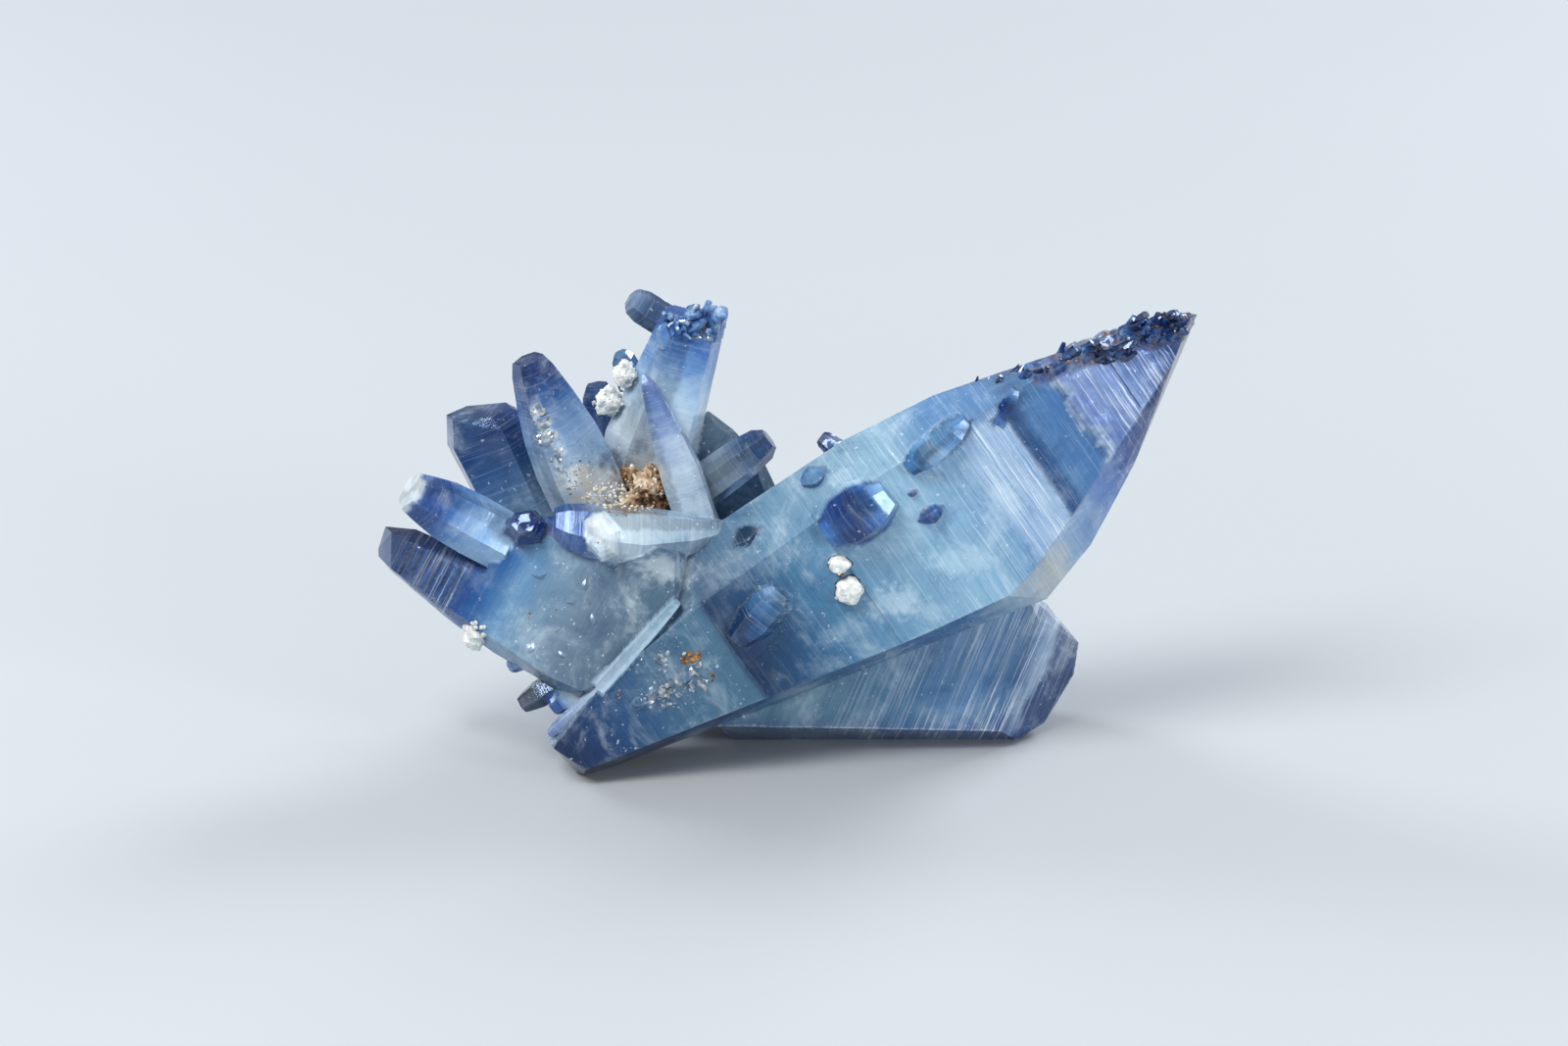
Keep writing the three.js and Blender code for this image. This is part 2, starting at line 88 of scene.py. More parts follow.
def colour(code: str) -> Colour:
    """Turns a web colour into the linear values that shaders use.

    Args:
        code: Six hexadecimal digits after a #.

    Returns:
        Linear red, green, blue and an alpha of 1.
    """
    parts = [int(code[i : i + 2], 16) / 255 for i in (1, 3, 5)]
    linear = [c / 12.92 if c <= 0.04045 else ((c + 0.055) / 1.055) ** 2.4 for c in parts]
    return (*linear, 1.0)


def at(x: float, seen: float, y: float) -> Place:
    """Gives a point in design millimetres from its place as seen from the front.

    Args:
        x: Place across, to the right.
        seen: Place up, as seen from 20 degrees above the horizon.
        y: Depth, away from the viewer.

    Returns:
        The point's x, y and z, before the cluster leans back.
    """
    return (x, y, (seen - y * math.sin(SEEN_FROM)) / math.cos(SEEN_FROM))


def leaned(place: Place) -> Vector:
    """Leans a point back along the line of sight by a share of its height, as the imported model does."""
    return Vector((place[0], place[1] + LEAN * place[2], place[2] * SHORTER))


def spindle_front(x: float, seen: float) -> float:
    """Gives the depth of the big spindle's front face at a place."""
    return FRONT_DEPTH + FRONT_ACROSS * x + FRONT_UP * seen


def on_spindle(x: float, seen: float, behind: float = 0.0) -> Place:
    """Gives a point on the big spindle's front face, or behind it by some millimetres."""
    return at(x, seen, spindle_front(x, seen) + behind)


def design_origin() -> Vector:
    """Finds where the design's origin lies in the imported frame, in metres, from one grain's box.

    Returns:
        The origin.
    """
    low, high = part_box("white_grain_at_left")
    middle = (Vector(low) + Vector(high)) / 2
    return middle - Vector(LEFT_GRAIN) * MM


class Detail(Enum):
    """The longest edge on the sapphire's front, in millimetres."""

    QUICK = 1.0
    FULL = 0.54


class Socket:
    """A shader value. Arithmetic on it adds Math nodes."""

    def __init__(self, shader: "Shader", link: bpy.types.NodeSocket) -> None:
        """Keeps the socket with the shader that it belongs to."""
        self.shader = shader
        self.link = link

    def _maths(self, operation: str, first: object, second: object) -> "Socket":
        """Adds one Math node on two values."""
        return self.shader.node("ShaderNodeMath", {"operation": operation}, {0: first, 1: second})

    def __add__(self, other: object) -> "Socket":
        """Adds."""
        return self._maths("ADD", self, other)

    def __radd__(self, other: object) -> "Socket":
        """Adds, from the right."""
        return self._maths("ADD", other, self)

    def __sub__(self, other: object) -> "Socket":
        """Subtracts."""
        return self._maths("SUBTRACT", self, other)

    def __rsub__(self, other: object) -> "Socket":
        """Subtracts, from the right."""
        return self._maths("SUBTRACT", other, self)

    def __mul__(self, other: object) -> "Socket":
        """Multiplies."""
        return self._maths("MULTIPLY", self, other)

    def __rmul__(self, other: object) -> "Socket":
        """Multiplies, from the right."""
        return self._maths("MULTIPLY", other, self)

    def held(self) -> "Socket":
        """Holds the value between 0 and 1."""
        return self.shader.node("ShaderNodeClamp", {}, {"Value": self})


class Shader:
    """A material's node tree, built by one method for every kind of node."""

    def __init__(self, name: str) -> None:
        """Starts an empty material.

        Args:
            name: The material's name.
        """
        self.material = bpy.data.materials.new(name)
        self.material.use_nodes = True
        self.tree = self.material.node_tree
        self.tree.nodes.clear()

    def node(
        self, kind: str, settings: dict[str, object], values: dict[object, object], out: object = 0
    ) -> Socket:
        """Adds a node.

        Args:
            kind: The node's type.
            settings: What is set on the node first. "stops" are a ramp's stops.
            values: Each socket's number, colour or link.
            out: Which output to give back.

        Returns:
            The output socket.
        """
        made = self.tree.nodes.new(kind)
        for key, value in settings.items():
            if key == "stops":
                ramp = made.color_ramp
                while len(ramp.elements) < len(value):
                    ramp.elements.new(0.5)
                for element, (place, shade) in zip(ramp.elements, value):
                    element.position = place
                    element.color = shade
            else:
                setattr(made, key, value)
        for key, value in values.items():
            if isinstance(value, Socket):
                self.tree.links.new(value.link, made.inputs[key])
            else:
                made.inputs[key].default_value = value
        return Socket(self, made.outputs[out]) if len(made.outputs) else Socket(self, made.inputs[0])

    def place(self) -> Socket:
        """Gives each point's own place in metres."""
        return self.node("ShaderNodeTexCoord", {}, {}, "Object")

    def attribute(self, name: str, out: str = "Vector") -> Socket:
        """Reads one of the mesh's own attributes."""
        return self.node("ShaderNodeAttribute", {"attribute_name": name}, {}, out)

    def part(self, vector: Socket, axis: str) -> Socket:
        """Takes X, Y or Z out of a vector."""
        return self.node("ShaderNodeSeparateXYZ", {}, {0: vector}, axis)

    def stretched(self, vector: Socket, scale: Sequence[float]) -> Socket:
        """Scales a vector along its three axes."""
        return self.node("ShaderNodeVectorMath", {"operation": "MULTIPLY"}, {0: vector, 1: tuple(scale)})

    def mottle(
        self, where: Socket, scale: float, detail: float = 3.0, rough: float = 0.55, warp: float = 0.0
    ) -> Socket:
        """Adds a noise texture's value at a scale."""
        values = {"Vector": where, "Scale": scale, "Detail": detail, "Roughness": rough, "Distortion": warp}
        return self.node("ShaderNodeTexNoise", {}, values, "Fac")

    def step(self, value: Socket, low: float, high: float) -> Socket:
        """Takes a value smoothly from 0 at low to 1 at high."""
        settings = {"interpolation_type": "SMOOTHSTEP"}
        return self.node("ShaderNodeMapRange", settings, {"Value": value, "From Min": low, "From Max": high})

    def blend(self, share: object, first: object, second: object) -> Socket:
        """Mixes two colours by a share."""
        return self.node("ShaderNodeMix", {"data_type": "RGBA"}, {0: share, 6: first, 7: second}, 2)

    def ramp(self, value: Socket, places: Sequence[float], codes: Sequence[str]) -> Socket:
        """Reads a run of web colours at a value."""
        stops = [(place, colour(code)) for place, code in zip(places, codes)]
        return self.node("ShaderNodeValToRGB", {"stops": stops}, {0: value}, "Color")

    def surface(self, values: dict[object, object]) -> Socket:
        """Adds a surface shader."""
        return self.node("ShaderNodeBsdfPrincipled", {}, values, "BSDF")

    def bump(self, height: Socket, distance: float) -> Socket:
        """Turns a height into a normal."""
        return self.node("ShaderNodeBump", {}, {"Height": height, "Distance": distance, "Strength": 1.0})

    def finished(self, surface: Socket, volume: Socket | None = None) -> bpy.types.Material:
        """Sends the surface, and a volume where there is one, to the output.

        Args:
            surface: The shader for the surface.
            volume: The shader for the inside, or None.

        Returns:
            The finished material.
        """
        values = {"Surface": surface}
        if volume is not None:
            values["Volume"] = volume
        self.node("ShaderNodeOutputMaterial", {}, values)
        return self.material


@dataclass(frozen=True)
class SapphireFinish:
    """Milky to clear sapphire, with growth lines across each crystal and pale edges that are partly wear and
    partly a painted highlight.
    """

    name: str = "sapphire_milky_to_clear"
    milk: Colour = colour("#d8e8f0")
    # Pale colour of the silk lines and of the edges; on the edges it is partly wear and partly a painted
    # highlight.
    worn: Colour = colour("#eaf3fa")
    absorbs: Colour = colour("#a2c2f2")
    sheen: Colour = colour("#b4ccf4")
    density: float = 120.0
    darkening: tuple[float, float, float] = (0.42, 0.58, 0.76)
    cloud_scale: float = 210
    crumb_scale: float = 2600
    relief: float = 0.00012

    def material(self) -> bpy.types.Material:
        """Builds the material.

        Returns:
            The material, which reads the mesh's tint, growth and grain attributes.
        """
        s = Shader(self.name)
        place = s.place()
        tint = s.attribute("tint", "Color")
        growth = s.attribute("growth")
        haze, lined, edge = (s.part(growth, axis) for axis in "XYZ")
        grain = s.attribute("grain")
        cloud = s.mottle(place, self.cloud_scale, 6, 0.68, 0.4)
        wisps = s.mottle(s.stretched(grain, (0.5, 0.22, 0.22)), 1.0, 5, 0.62, 0.8)
        lines = s.mottle(s.stretched(grain, (2.6, 0.05, 0.05)), 1.0, 4, 0.65)
        fine = s.mottle(s.stretched(grain, (9.0, 0.14, 0.14)), 1.0, 2, 0.6)
        crumbs = s.mottle(place, self.crumb_scale, 2, 0.5)
        shadow = s.stretched(tint, self.darkening)
        silver = (s.step(lines * 0.4 + fine * 0.6, 0.5, 0.64) * lined).held()
        shade = s.blend((s.step(cloud, 0.48, 0.72) * haze * 0.4).held(), tint, self.milk)
        shade = s.blend((s.step(wisps, 0.54, 0.76) * haze * 0.34).held(), shade, self.milk)
        shade = s.blend(s.step(cloud, 0.47, 0.27) * 0.8, shade, shadow)
        shade = s.blend((s.step(lines * 0.6 + fine * 0.4, 0.5, 0.34) * lined * 0.8).held(), shade, shadow)
        shade = s.blend(silver * (0.35 + 0.45 * lined), shade, self.worn)
        # Paler edges: partly chipped wear, partly a painted highlight along each sharp edge.
        worn = edge * edge * edge * (0.3 + 0.7 * s.step(cloud * 0.5 + crumbs * 0.5, 0.42, 0.58))
        shade = s.blend(worn.held() * 0.85, shade, self.worn)
        shade = s.blend(s.step(crumbs, 0.69, 0.74) * haze * 0.7, shade, self.worn)
        rough = 0.1 + 0.2 * silver + 0.16 * worn + 0.07 * s.step(wisps, 0.5, 0.75) * haze
        relief = lines * lined * 0.75 + fine * lined * 0.4 + wisps * 0.22 + crumbs * 0.07
        shared = {
            "Roughness": rough.held(),
            "IOR": INDEX,
            "Specular Tint": self.sheen,
            "Normal": s.bump(relief, self.relief),
        }
        clear_shade = s.blend(0.15, tint, self.milk)
        clear = s.surface({"Base Color": clear_shade, "Transmission Weight": 1.0, **shared})
        milky = s.surface({"Base Color": shade, "Transmission Weight": 0.12, **shared})
        share = (haze + (cloud - 0.5) * 0.5 + silver * 0.3 + worn * 0.3).held()
        body = s.node("ShaderNodeMixShader", {}, {0: share, 1: clear, 2: milky})
        inside = s.node("ShaderNodeVolumeAbsorption", {}, {"Color": self.absorbs, "Density": self.density})
        return s.finished(body, inside)


@dataclass(frozen=True)
class Mottle:
    """A noise pattern: how many spots to a metre, its finer layers, how strong they are and how it warps."""

    scale: float
    detail: float = 3
    rough: float = 0.6
    warp: float = 0.0


@dataclass(frozen=True)
class MineralFinish:
    """A mottled mineral, soft and dull, or glossy and see-through."""

    name: str
    shades: tuple[str, ...]
    places: tuple[float, ...]
    small: Mottle
    rough: float
    rougher: float
    broad: Mottle | None = None
    broad_in_shade: float = 0.0
    broad_in_relief: float = 0.0
    soft: float = 0.0
    radius: Place = (0.0006, 0.0006, 0.0006)
    clear: float = 0.0
    relief: float = 0.0

    def material(self) -> bpy.types.Material:
        """Builds the material. Two shades blend smoothly, more of them run along a ramp.

        Returns:
            The material.
        """
        s = Shader(self.name)
        small = self._pattern(s, self.small)
        shade_at, height = small, small
        if self.broad is not None:
            broad = self._pattern(s, self.broad)
            shade_at = broad * self.broad_in_shade + small * (1 - self.broad_in_shade)
            height = small * (1 - self.broad_in_relief) + broad * self.broad_in_relief
        rough = (self.rough + self.rougher * small).held()
        values = {"Base Color": self._shade(s, shade_at), "Roughness": rough}
        if self.clear:
            values["IOR"] = INDEX
            values["Transmission Weight"] = self.clear
        if self.soft:
            values["Subsurface Weight"] = self.soft
            values["Subsurface Radius"] = self.radius
            values["Subsurface Scale"] = 1.0
        if self.relief:
            values["Normal"] = s.bump(height, self.relief)
        return s.finished(s.surface(values))

    @staticmethod
    def _pattern(s: Shader, mottle: Mottle) -> Socket:
        """Adds one noise pattern."""
        return s.mottle(s.place(), mottle.scale, mottle.detail, mottle.rough, mottle.warp)

    def _shade(self, s: Shader, where: Socket) -> Socket:
        """Reads the shades at a value.

        Args:
            s: The material that is being built.
            where: The value, from 0 to 1.

        Returns:
            The colour.
        """
        if len(self.shades) > 2:
            return s.ramp(where, self.places, self.shades)
        return s.blend(s.step(where, *self.places), *(colour(code) for code in self.shades))


CRUST_PLACES = (0.34, 0.43, 0.5, 0.6, 0.74)
CRUST_RADIUS = (0.0008, 0.0006, 0.0004)
STAINED_CRUST = MineralFinish(
    "stained_crust", ("#2a1c12", "#6c4c30", "#b0967a", "#dccfbc", "#dad6d0"), CRUST_PLACES, Mottle(1900),
    0.45, 0.4, Mottle(420, 4, 0.62, 0.5), 0.7, 0.3, soft=0.25, radius=CRUST_RADIUS, relief=0.0003,
)
CREAM_DRUSE = replace(
    STAINED_CRUST, name="cream_druse", shades=("#a1865f", "#cfbfa6", "#e6dfd2", "#f4f1ea", "#eef2f4")
)
WHITE_MINERAL = MineralFinish(
    "white_mineral", ("#cbd3d4", "#fafaf6"), (0.42, 0.62), Mottle(2100), 0.28, 0.3, Mottle(700, 2, 0.5), 0.5,
    soft=0.5, relief=0.0002,
)
IRON_STAIN = MineralFinish(
    "iron_stain", ("#3a2413", "#8a5a2a", "#c89a5c"), (0.34, 0.5, 0.66), Mottle(1500), 0.3, 0.3,
    soft=0.3, radius=(0.0006, 0.0004, 0.0002), relief=0.0002,
)
BRIGHT_FLAKE = MineralFinish(
    "bright_flakes", ("#86a2b8", "#f6fbfe"), (0.42, 0.62), Mottle(1800, 2, 0.5), 0.03, 0.12, clear=0.6
)
ETCHED_NAVY = MineralFinish(
    "etched_navy", ("#08142e", "#13306a", "#2a5a9c", "#86aeda"), (0.34, 0.47, 0.58, 0.7), Mottle(900),
    0.08, 0.2, clear=0.4,
)
ETCHED_BLUE = replace(
    ETCHED_NAVY, name="etched_blue", shades=("#2c569c", "#6fa0dc", "#bcd8f2", "#f6fafd")
)


@dataclass(frozen=True)
class FloorFinish:
    """Plain pale floor."""

    name: str = "pale_floor"
    shades: tuple[str, str] = ("#a9aeb3", "#afb4b8")

    def material(self) -> bpy.types.Material:
        """Builds the material.

        Returns:
            The material.
        """
        s = Shader(self.name)
        darker, lighter = (colour(code) for code in self.shades)
        values = {"Base Color": s.blend(s.mottle(s.place(), 6, 2), darker, lighter), "Roughness": 0.6}
        return s.finished(s.surface(values))


@dataclass(frozen=True)
class Look:
    """How one crystal is coloured along its length, and how hazy and how lined it is."""

    stops: tuple[tuple[float, str], ...]
    haze: tuple[float, float] = (0.8, 0.45)
    lined: float = 0.25
    rust: float = 0.0
    rough: float = 0.0


Profile = tuple[tuple[float, float], ...]

# Outlines along a crystal's axis, as (share of length, share of width).
TAPERED: Profile = ((0, 0.7), (0.3, 0.95), (0.55, 1), (0.8, 0.8), (0.95, 0.55), (1, 0.4))
STOUT: Profile = ((0, 0.85), (0.35, 1), (0.75, 0.93), (0.93, 0.72), (1, 0.6))
STUB: Profile = ((0, 1), (0.7, 0.95), (0.92, 0.75), (1, 0.55))
DOUBLE: Profile = ((0, 0.25), (0.28, 0.8), (0.5, 1), (0.72, 0.8), (1, 0.25))


@dataclass(frozen=True)
class Growth:
    """One six-sided crystal of the cluster, by its axis, width, thickness and outline, in millimetres."""

    name: str
    foot: Place
    tip: Place
    wide: float
    look: Look
    thick: float = 0.0
    face: float = 0.5
    spin: float = 0.0
    bow: float = 0.0
    profile: Profile = STOUT
    slack: float = 1.05
    proud: bool = False
    outside: ClassVar[float] = 9.0
    end_on: ClassVar[float] = 0.3
    flattened: ClassVar[float] = 0.85
    shares: ClassVar[tuple[float, float]] = (-0.03, 1.05)

    def measured(self, points: np.ndarray) -> tuple[np.ndarray, np.ndarray, np.ndarray, np.ndarray, float]:
        """Measures points against the crystal.

        Args:
            points: Rows of x, y and z.

        Returns:
            How far out each point is, where 1 is the crystal's skin; its share along the axis; its places
            along the crystal's side and out of its front face; and the crystal's length.
        """
        foot, tip = np.array(self.foot), np.array(self.tip)
        length = float(np.linalg.norm(tip - foot))
        axis = (tip - foot) / length
        side = np.cross((0, -math.cos(SEEN_FROM), math.sin(SEEN_FROM)), axis)
        if np.linalg.norm(side) < self.end_on:
            side = np.array((1.0, 0, 0)) - axis * axis[0]
        side /= np.linalg.norm(side)
        spin = math.radians(self.spin)
        side = side * math.cos(spin) + np.cross(axis, side) * math.sin(spin)
        out = np.cross(axis, side)
        offset = points - foot
        share = offset @ axis / length
        width = np.interp(share, [t for t, _ in self.profile], [w for _, w in self.profile])
        held = np.clip(share, 0, 1)
        across = (offset @ side - self.bow * 4 * held * (1 - held)) / (width * self.wide / 2)
        deep = offset @ out / (width * (self.thick or self.wide * self.flattened) / 2)
        norm = np.maximum(np.abs(deep), np.abs(across) + (1 - self.face) * np.abs(deep))
        within = (share > self.shares[0]) & (share < self.shares[1])
        return np.where(within, norm, self.outside), share, across, deep, length


ICY = Look((
    (0.0, "#cfd9df"), (0.48, "#d2e0e9"), (0.64, "#b0cbe2"), (0.76, "#7099ca"), (0.88, "#4a76b6"),
    (1.0, "#3a64a8"),
), (0.92, 0.8), 0.2)
NAVY_TIP = Look((
    (0.0, "#c8d2d6"), (0.35, "#acc0d0"), (0.6, "#7a9ac2"), (0.8, "#3a5f9a"), (0.92, "#1e3870"),
    (1.0, "#22386c"),
), (0.95, 0.75), 0.25)
SMOKY = Look((
    (0.0, "#8aa6be"), (0.3, "#6488aa"), (0.6, "#3c6090"), (0.85, "#27467a"), (1.0, "#2c4a78"),
), (0.9, 0.8), 0.2)
BARREL = Look((
    (0.0, "#a4c8e8"), (0.3, "#8cb8e4"), (0.5, "#5f94d0"), (0.74, "#1f4a94"), (0.9, "#2c4c8c"),
    (0.955, "#4c6cac"), (0.97, "#e4eef8"), (1.0, "#f2f7fb"),
), (0.85, 0.7), 0.25)
PALE = Look((
    (0.0, "#7a8fa0"), (0.3, "#a9bdcb"), (0.62, "#d0e0ea"), (0.74, "#9cc0e4"), (0.82, "#3c68ac"),
    (1.0, "#24509c"),
), (0.95, 0.75), 0.25)
WHITE = Look(((0.0, "#cfdde6"), (1.0, "#eef4f5")), (1.0, 1.0), 0.0)
DARK = Look(((0.0, "#1c3c84"), (1.0, "#142a66")), (0.8, 0.8), 0.05, rough=0.16)
BLUE_PYRAMID = Look((
    (0.0, "#4a86c8"), (0.28, "#123c80"), (0.55, "#0f3474"), (0.8, "#3670b4"), (1.0, "#9cc8ee"),
), (0.75, 0.7), 0.2)
SUNK = Look(((0.0, "#3a70a8"), (0.5, "#6fa2cc"), (1.0, "#4a80b8")), (0.75, 0.65), 0.25)
GREY = Look(((0.0, "#8697a4"), (0.5, "#8598a8"), (0.8, "#345684"), (1.0, "#1f3f72")), (0.9, 0.6), 0.2)
ARM = Look(((0.0, "#5a7fa8"), (0.4, "#4a678c"), (0.75, "#3a547c"), (1.0, "#7c92b4")), (0.85, 0.7), 0.25)
CLAW = Look((
    (0.0, "#b4c3cf"), (0.4, "#a6b8ca"), (0.62, "#8298be"), (0.8, "#6a82b4"), (1.0, "#4a5fa0"),
), (0.95, 0.85), 0.2)
BEHIND = Look(((0.0, "#7f9cc4"), (0.6, "#4d74a8"), (1.0, "#587aa4")), (0.9, 0.85))
STONY = Look(((0.0, "#8798ac"), (0.6, "#3c4456"), (1.0, "#59606e")), (0.6, 0.4))
BAR_END = Look(((0.0, "#b4c9dc"), (1.0, "#7d93c4")), (0.95, 0.8), 0.3)
WIDE_SUNK = Look(((0.0, "#12345f"), (0.4, "#28517e"), (1.0, "#5585ae")), (0.8, 0.75), 0.25)
PIT = Look(((0.0, "#2a4a66"), (1.0, "#16324e")), (0.9, 0.9), rough=0.12)
RAGGED = Look(((0.0, "#2a5090"), (0.5, "#1c3c7a"), (1.0, "#10234e")), (0.8, 0.7), 0.3, rust=0.16, rough=0.2)
TOWER_TOP = Look(((0.0, "#5f92d4"), (1.0, "#8fb4e2")), (0.85, 0.8), 0.1, rust=0.08, rough=0.26)
BAR = Look(((0.0, "#b4c9dc"), (1.0, "#9db9cc")), (1.0, 0.95), 0.3)

FAN: tuple[Growth, ...] = (
    Growth("barrel", at(-23, 16.6, -6.8), at(-30.3, 20.6, -8.8), 5.1, BARREL, 4.6, spin=10,
        profile=((0, 0.98), (0.3, 1), (0.62, 0.95), (0.85, 0.78), (1, 0.64))),
    Growth("smoky", at(-19.9, 16.5, -3), at(-24.9, 27.1, -1.8), 7.8, SMOKY, 5, 0.6, -24,
        profile=((0, 0.85), (0.5, 0.95), (0.86, 1), (1, 0.72)), slack=1.12),
    Growth("tall", at(-15, 17.9, -5.4), at(-20.8, 31.3, -6.2), 6.6, NAVY_TIP, 5.2, 0.42, -12,
        profile=((0, 0.95), (0.35, 1), (0.55, 0.93), (0.76, 0.74), (0.93, 0.54), (1, 0.4))),
    Growth("tower", at(-12.9, 19.2, -0.8), at(-7.3, 34.8, -0.6), 7.8, ICY, 5.4, 0.58, 16,
        profile=((0, 0.5), (0.15, 0.85), (0.35, 1), (0.5, 0.95), (0.7, 0.84), (0.9, 0.74), (1, 0.66))),
    Growth("tower_arm", at(-7.6, 33.2, 1), at(-12.6, 36.3, 0.4), 2.9, ARM, 2.6, spin=8,
        profile=((0, 1), (0.8, 0.98), (0.95, 0.8), (1, 0.55))),
    Growth("claw", at(-6.6, 16.8, -6.4), at(-11.4, 30.1, -4.6), 4.3, CLAW, 3.6, 0.3, 32, -0.15,
        ((0, 0.95), (0.4, 0.95), (0.6, 0.76), (0.82, 0.5), (0.94, 0.3), (1, 0.07))),
    Growth("shelf", at(-4.8, 17.5, -7.6), at(-18.6, 18, -9.6), 4.9, PALE, 4.4, 0.5, 12, 0.8,
        ((0, 0.3), (0.2, 0.7), (0.5, 1), (0.8, 0.92), (0.93, 0.75), (1, 0.5))),
    Growth("shelf_cap", at(-14.4, 17, -8.4), at(-14.8, 16.8, -12.5), 3.2, WHITE, 3.9, spin=20, profile=STUB),
    Growth("dark_knob", at(-20.6, 17, -6), at(-21, 18, -10.8), 3.7, DARK, 2.7, spin=8, profile=STUB),
    Growth("right_pair", at(-7.4, 20.4, -1.8), at(-1.2, 24.9, -1.4), 3.8, GREY, 3.4, spin=12,
        profile=((0, 1), (0.6, 0.95), (0.9, 0.78), (1, 0.5))),
    Growth("behind_tall", at(-13.8, 18.6, 1), at(-15.4, 29.4, 1.6), 3.6, SMOKY, 3, spin=20,
        profile=((0, 1), (0.7, 0.95), (0.92, 0.75), (1, 0.5))),
    Growth("behind_tower", at(-10.4, 24.6, 2), at(-13.4, 32, 1.4), 2.6, BEHIND, 2.3, spin=6,
        profile=((0, 1), (0.7, 1), (0.93, 0.75), (1, 0.45))),
    Growth("low_stub_dark", at(-16, 6.4, -7), at(-21.4, 3.2, -6.8), 2.5, STONY, 2.2, spin=18),
    Growth("low_stub_pale", at(-14.6, 6, -8), at(-18.9, 3, -8), 2.6, PALE, 2.2, spin=-12),
    Growth("low_stub_small", at(-20, 7.8, -7), at(-22.4, 6.2, -7), 1.7, ICY, profile=STUB),
    Growth("bar", at(-14.9, 4.7, -11.1), at(-8.6, 11.6, -11.9), 1.15, BAR, 1.5, 0.6, 15,
        profile=STUB, slack=1.2),
    Growth("bar_lower", at(-14.6, 4.6, -10.6), at(-19, 0.9, -9.2), 1.3, BAR_END, 1.5, 0.6, -10,
        profile=STUB, slack=1.2),
    Growth("back_foot", at(-9, 12, 1), at(-10.5, 2.6, 8.8), 6.6, SMOKY, 5.6, spin=10,
        profile=((0, 1), (0.5, 0.95), (0.8, 0.8), (1, 0.6))),
    Growth("back_left", at(-12, 13, 2), at(-22.6, 20, 8.4), 5, NAVY_TIP, 4.4, spin=24, profile=TAPERED),
    Growth("back_low", at(-11, 10, 2), at(-21, 8.6, 9), 4, ICY, 3.4, spin=5),
    Growth("back_up", at(-9, 16, 2), at(-10.4, 27, 10.6), 5.8, ICY, 5, spin=40, profile=TAPERED),
    Growth("back_right", at(-5, 13, 2), at(2.6, 20.4, 9.8), 4.8, NAVY_TIP, 4.2, spin=-18, profile=TAPERED),
    Growth("back_stub", at(-6, 11, 4), at(-2, 11.4, 11), 3.2, GREY, 2.8, spin=12),
    Growth("edge_peep", at(6.4, 22.4, -5), at(3, 25, -3.6), 1.9, DARK, profile=STUB),
    Growth("pyramid", on_spindle(3.4, 17.2, 0.2), on_spindle(8.4, 20.6, 0.1), 5.4, BLUE_PYRAMID, 4.4, spin=22,
        profile=((0, 0.55), (0.3, 0.95), (0.6, 1), (0.85, 0.82), (1, 0.58)), slack=1.1, proud=True),
    Growth("long_sunk", on_spindle(10, 22.5, 0.2), on_spindle(14.6, 26.5, 0.1), 2.9, SUNK, 2.8, spin=30,
        profile=((0, 0.6), (0.3, 1), (0.8, 0.9), (1, 0.5)), slack=1.1, proud=True),
    Growth("wide_sunk", on_spindle(-3.8, 8.7, 0.2), on_spindle(-0.2, 12.7, 0.1), 4, WIDE_SUNK, 3.4, spin=12,
        profile=((0, 0.6), (0.4, 1), (0.85, 0.9), (1, 0.6)), slack=1.1, proud=True),
    Growth("small_sunk", on_spindle(10.8, 18.2, 0.2), on_spindle(12.9, 19.5, 0.1), 2, BLUE_PYRAMID, 2,
        spin=30, profile=DOUBLE, slack=1.15, proud=True),
    Growth("tiny_sunk", on_spindle(9.9, 20.3, 0.2), on_spindle(10.8, 20.8, 0.1), 0.9, DARK, 1, spin=30,
        profile=DOUBLE, slack=1.2, proud=True),
    Growth("top_sunk", on_spindle(17.1, 26.3, 0.2), on_spindle(18.6, 28.8, 0.1), 1.3, BLUE_PYRAMID, 1.6,
        spin=30, profile=STUB, slack=1.2, proud=True),
    Growth("strip_sunk", at(1.4, 21.2, -9.7), at(3.4, 22.2, -9.4), 2, SUNK, 1.8, profile=DOUBLE, slack=1.2),
    Growth("pit", at(-5.2, 16.1, -10.9), at(-1.9, 17.8, -10.7), 2.2, PIT, 2.4, profile=DOUBLE, slack=1.1),
    Growth("back_sunk", on_spindle(6.4, 15.2, 10.2), on_spindle(11, 19.6, 10.4), 4.4, BLUE_PYRAMID, 3.6,
        spin=20, profile=DOUBLE),
    Growth("back_small", on_spindle(13.6, 22.4, 10.3), on_spindle(16.2, 23.4, 10.3), 2.6, SUNK, 2.4, spin=40,
        profile=DOUBLE),
    Growth("back_bar", on_spindle(14.6, 16.2, 10.2), on_spindle(18.8, 16.8, 10.2), 2.2, WIDE_SUNK, 2.6,
        spin=5),
)
# Where broken crystals too small to list one by one cover an end.
BROKEN_ENDS: tuple[Growth, ...] = (
    Growth("broken_low", on_spindle(20.2, 30.3, 1.3), on_spindle(30.6, 33.9, 0.6), 2.6, RAGGED, 5.4,
        profile=STUB),
    Growth("broken_tip", on_spindle(28.6, 33.4, 1.2), on_spindle(34.2, 35.2, 1.4), 3.4, RAGGED, 6.4,
        profile=STUB),
    Growth("broken_tower", at(-9.8, 33.4, -1), at(-4.4, 34.8, -0.8), 3.4, TOWER_TOP, 7.0, profile=STUB),
)

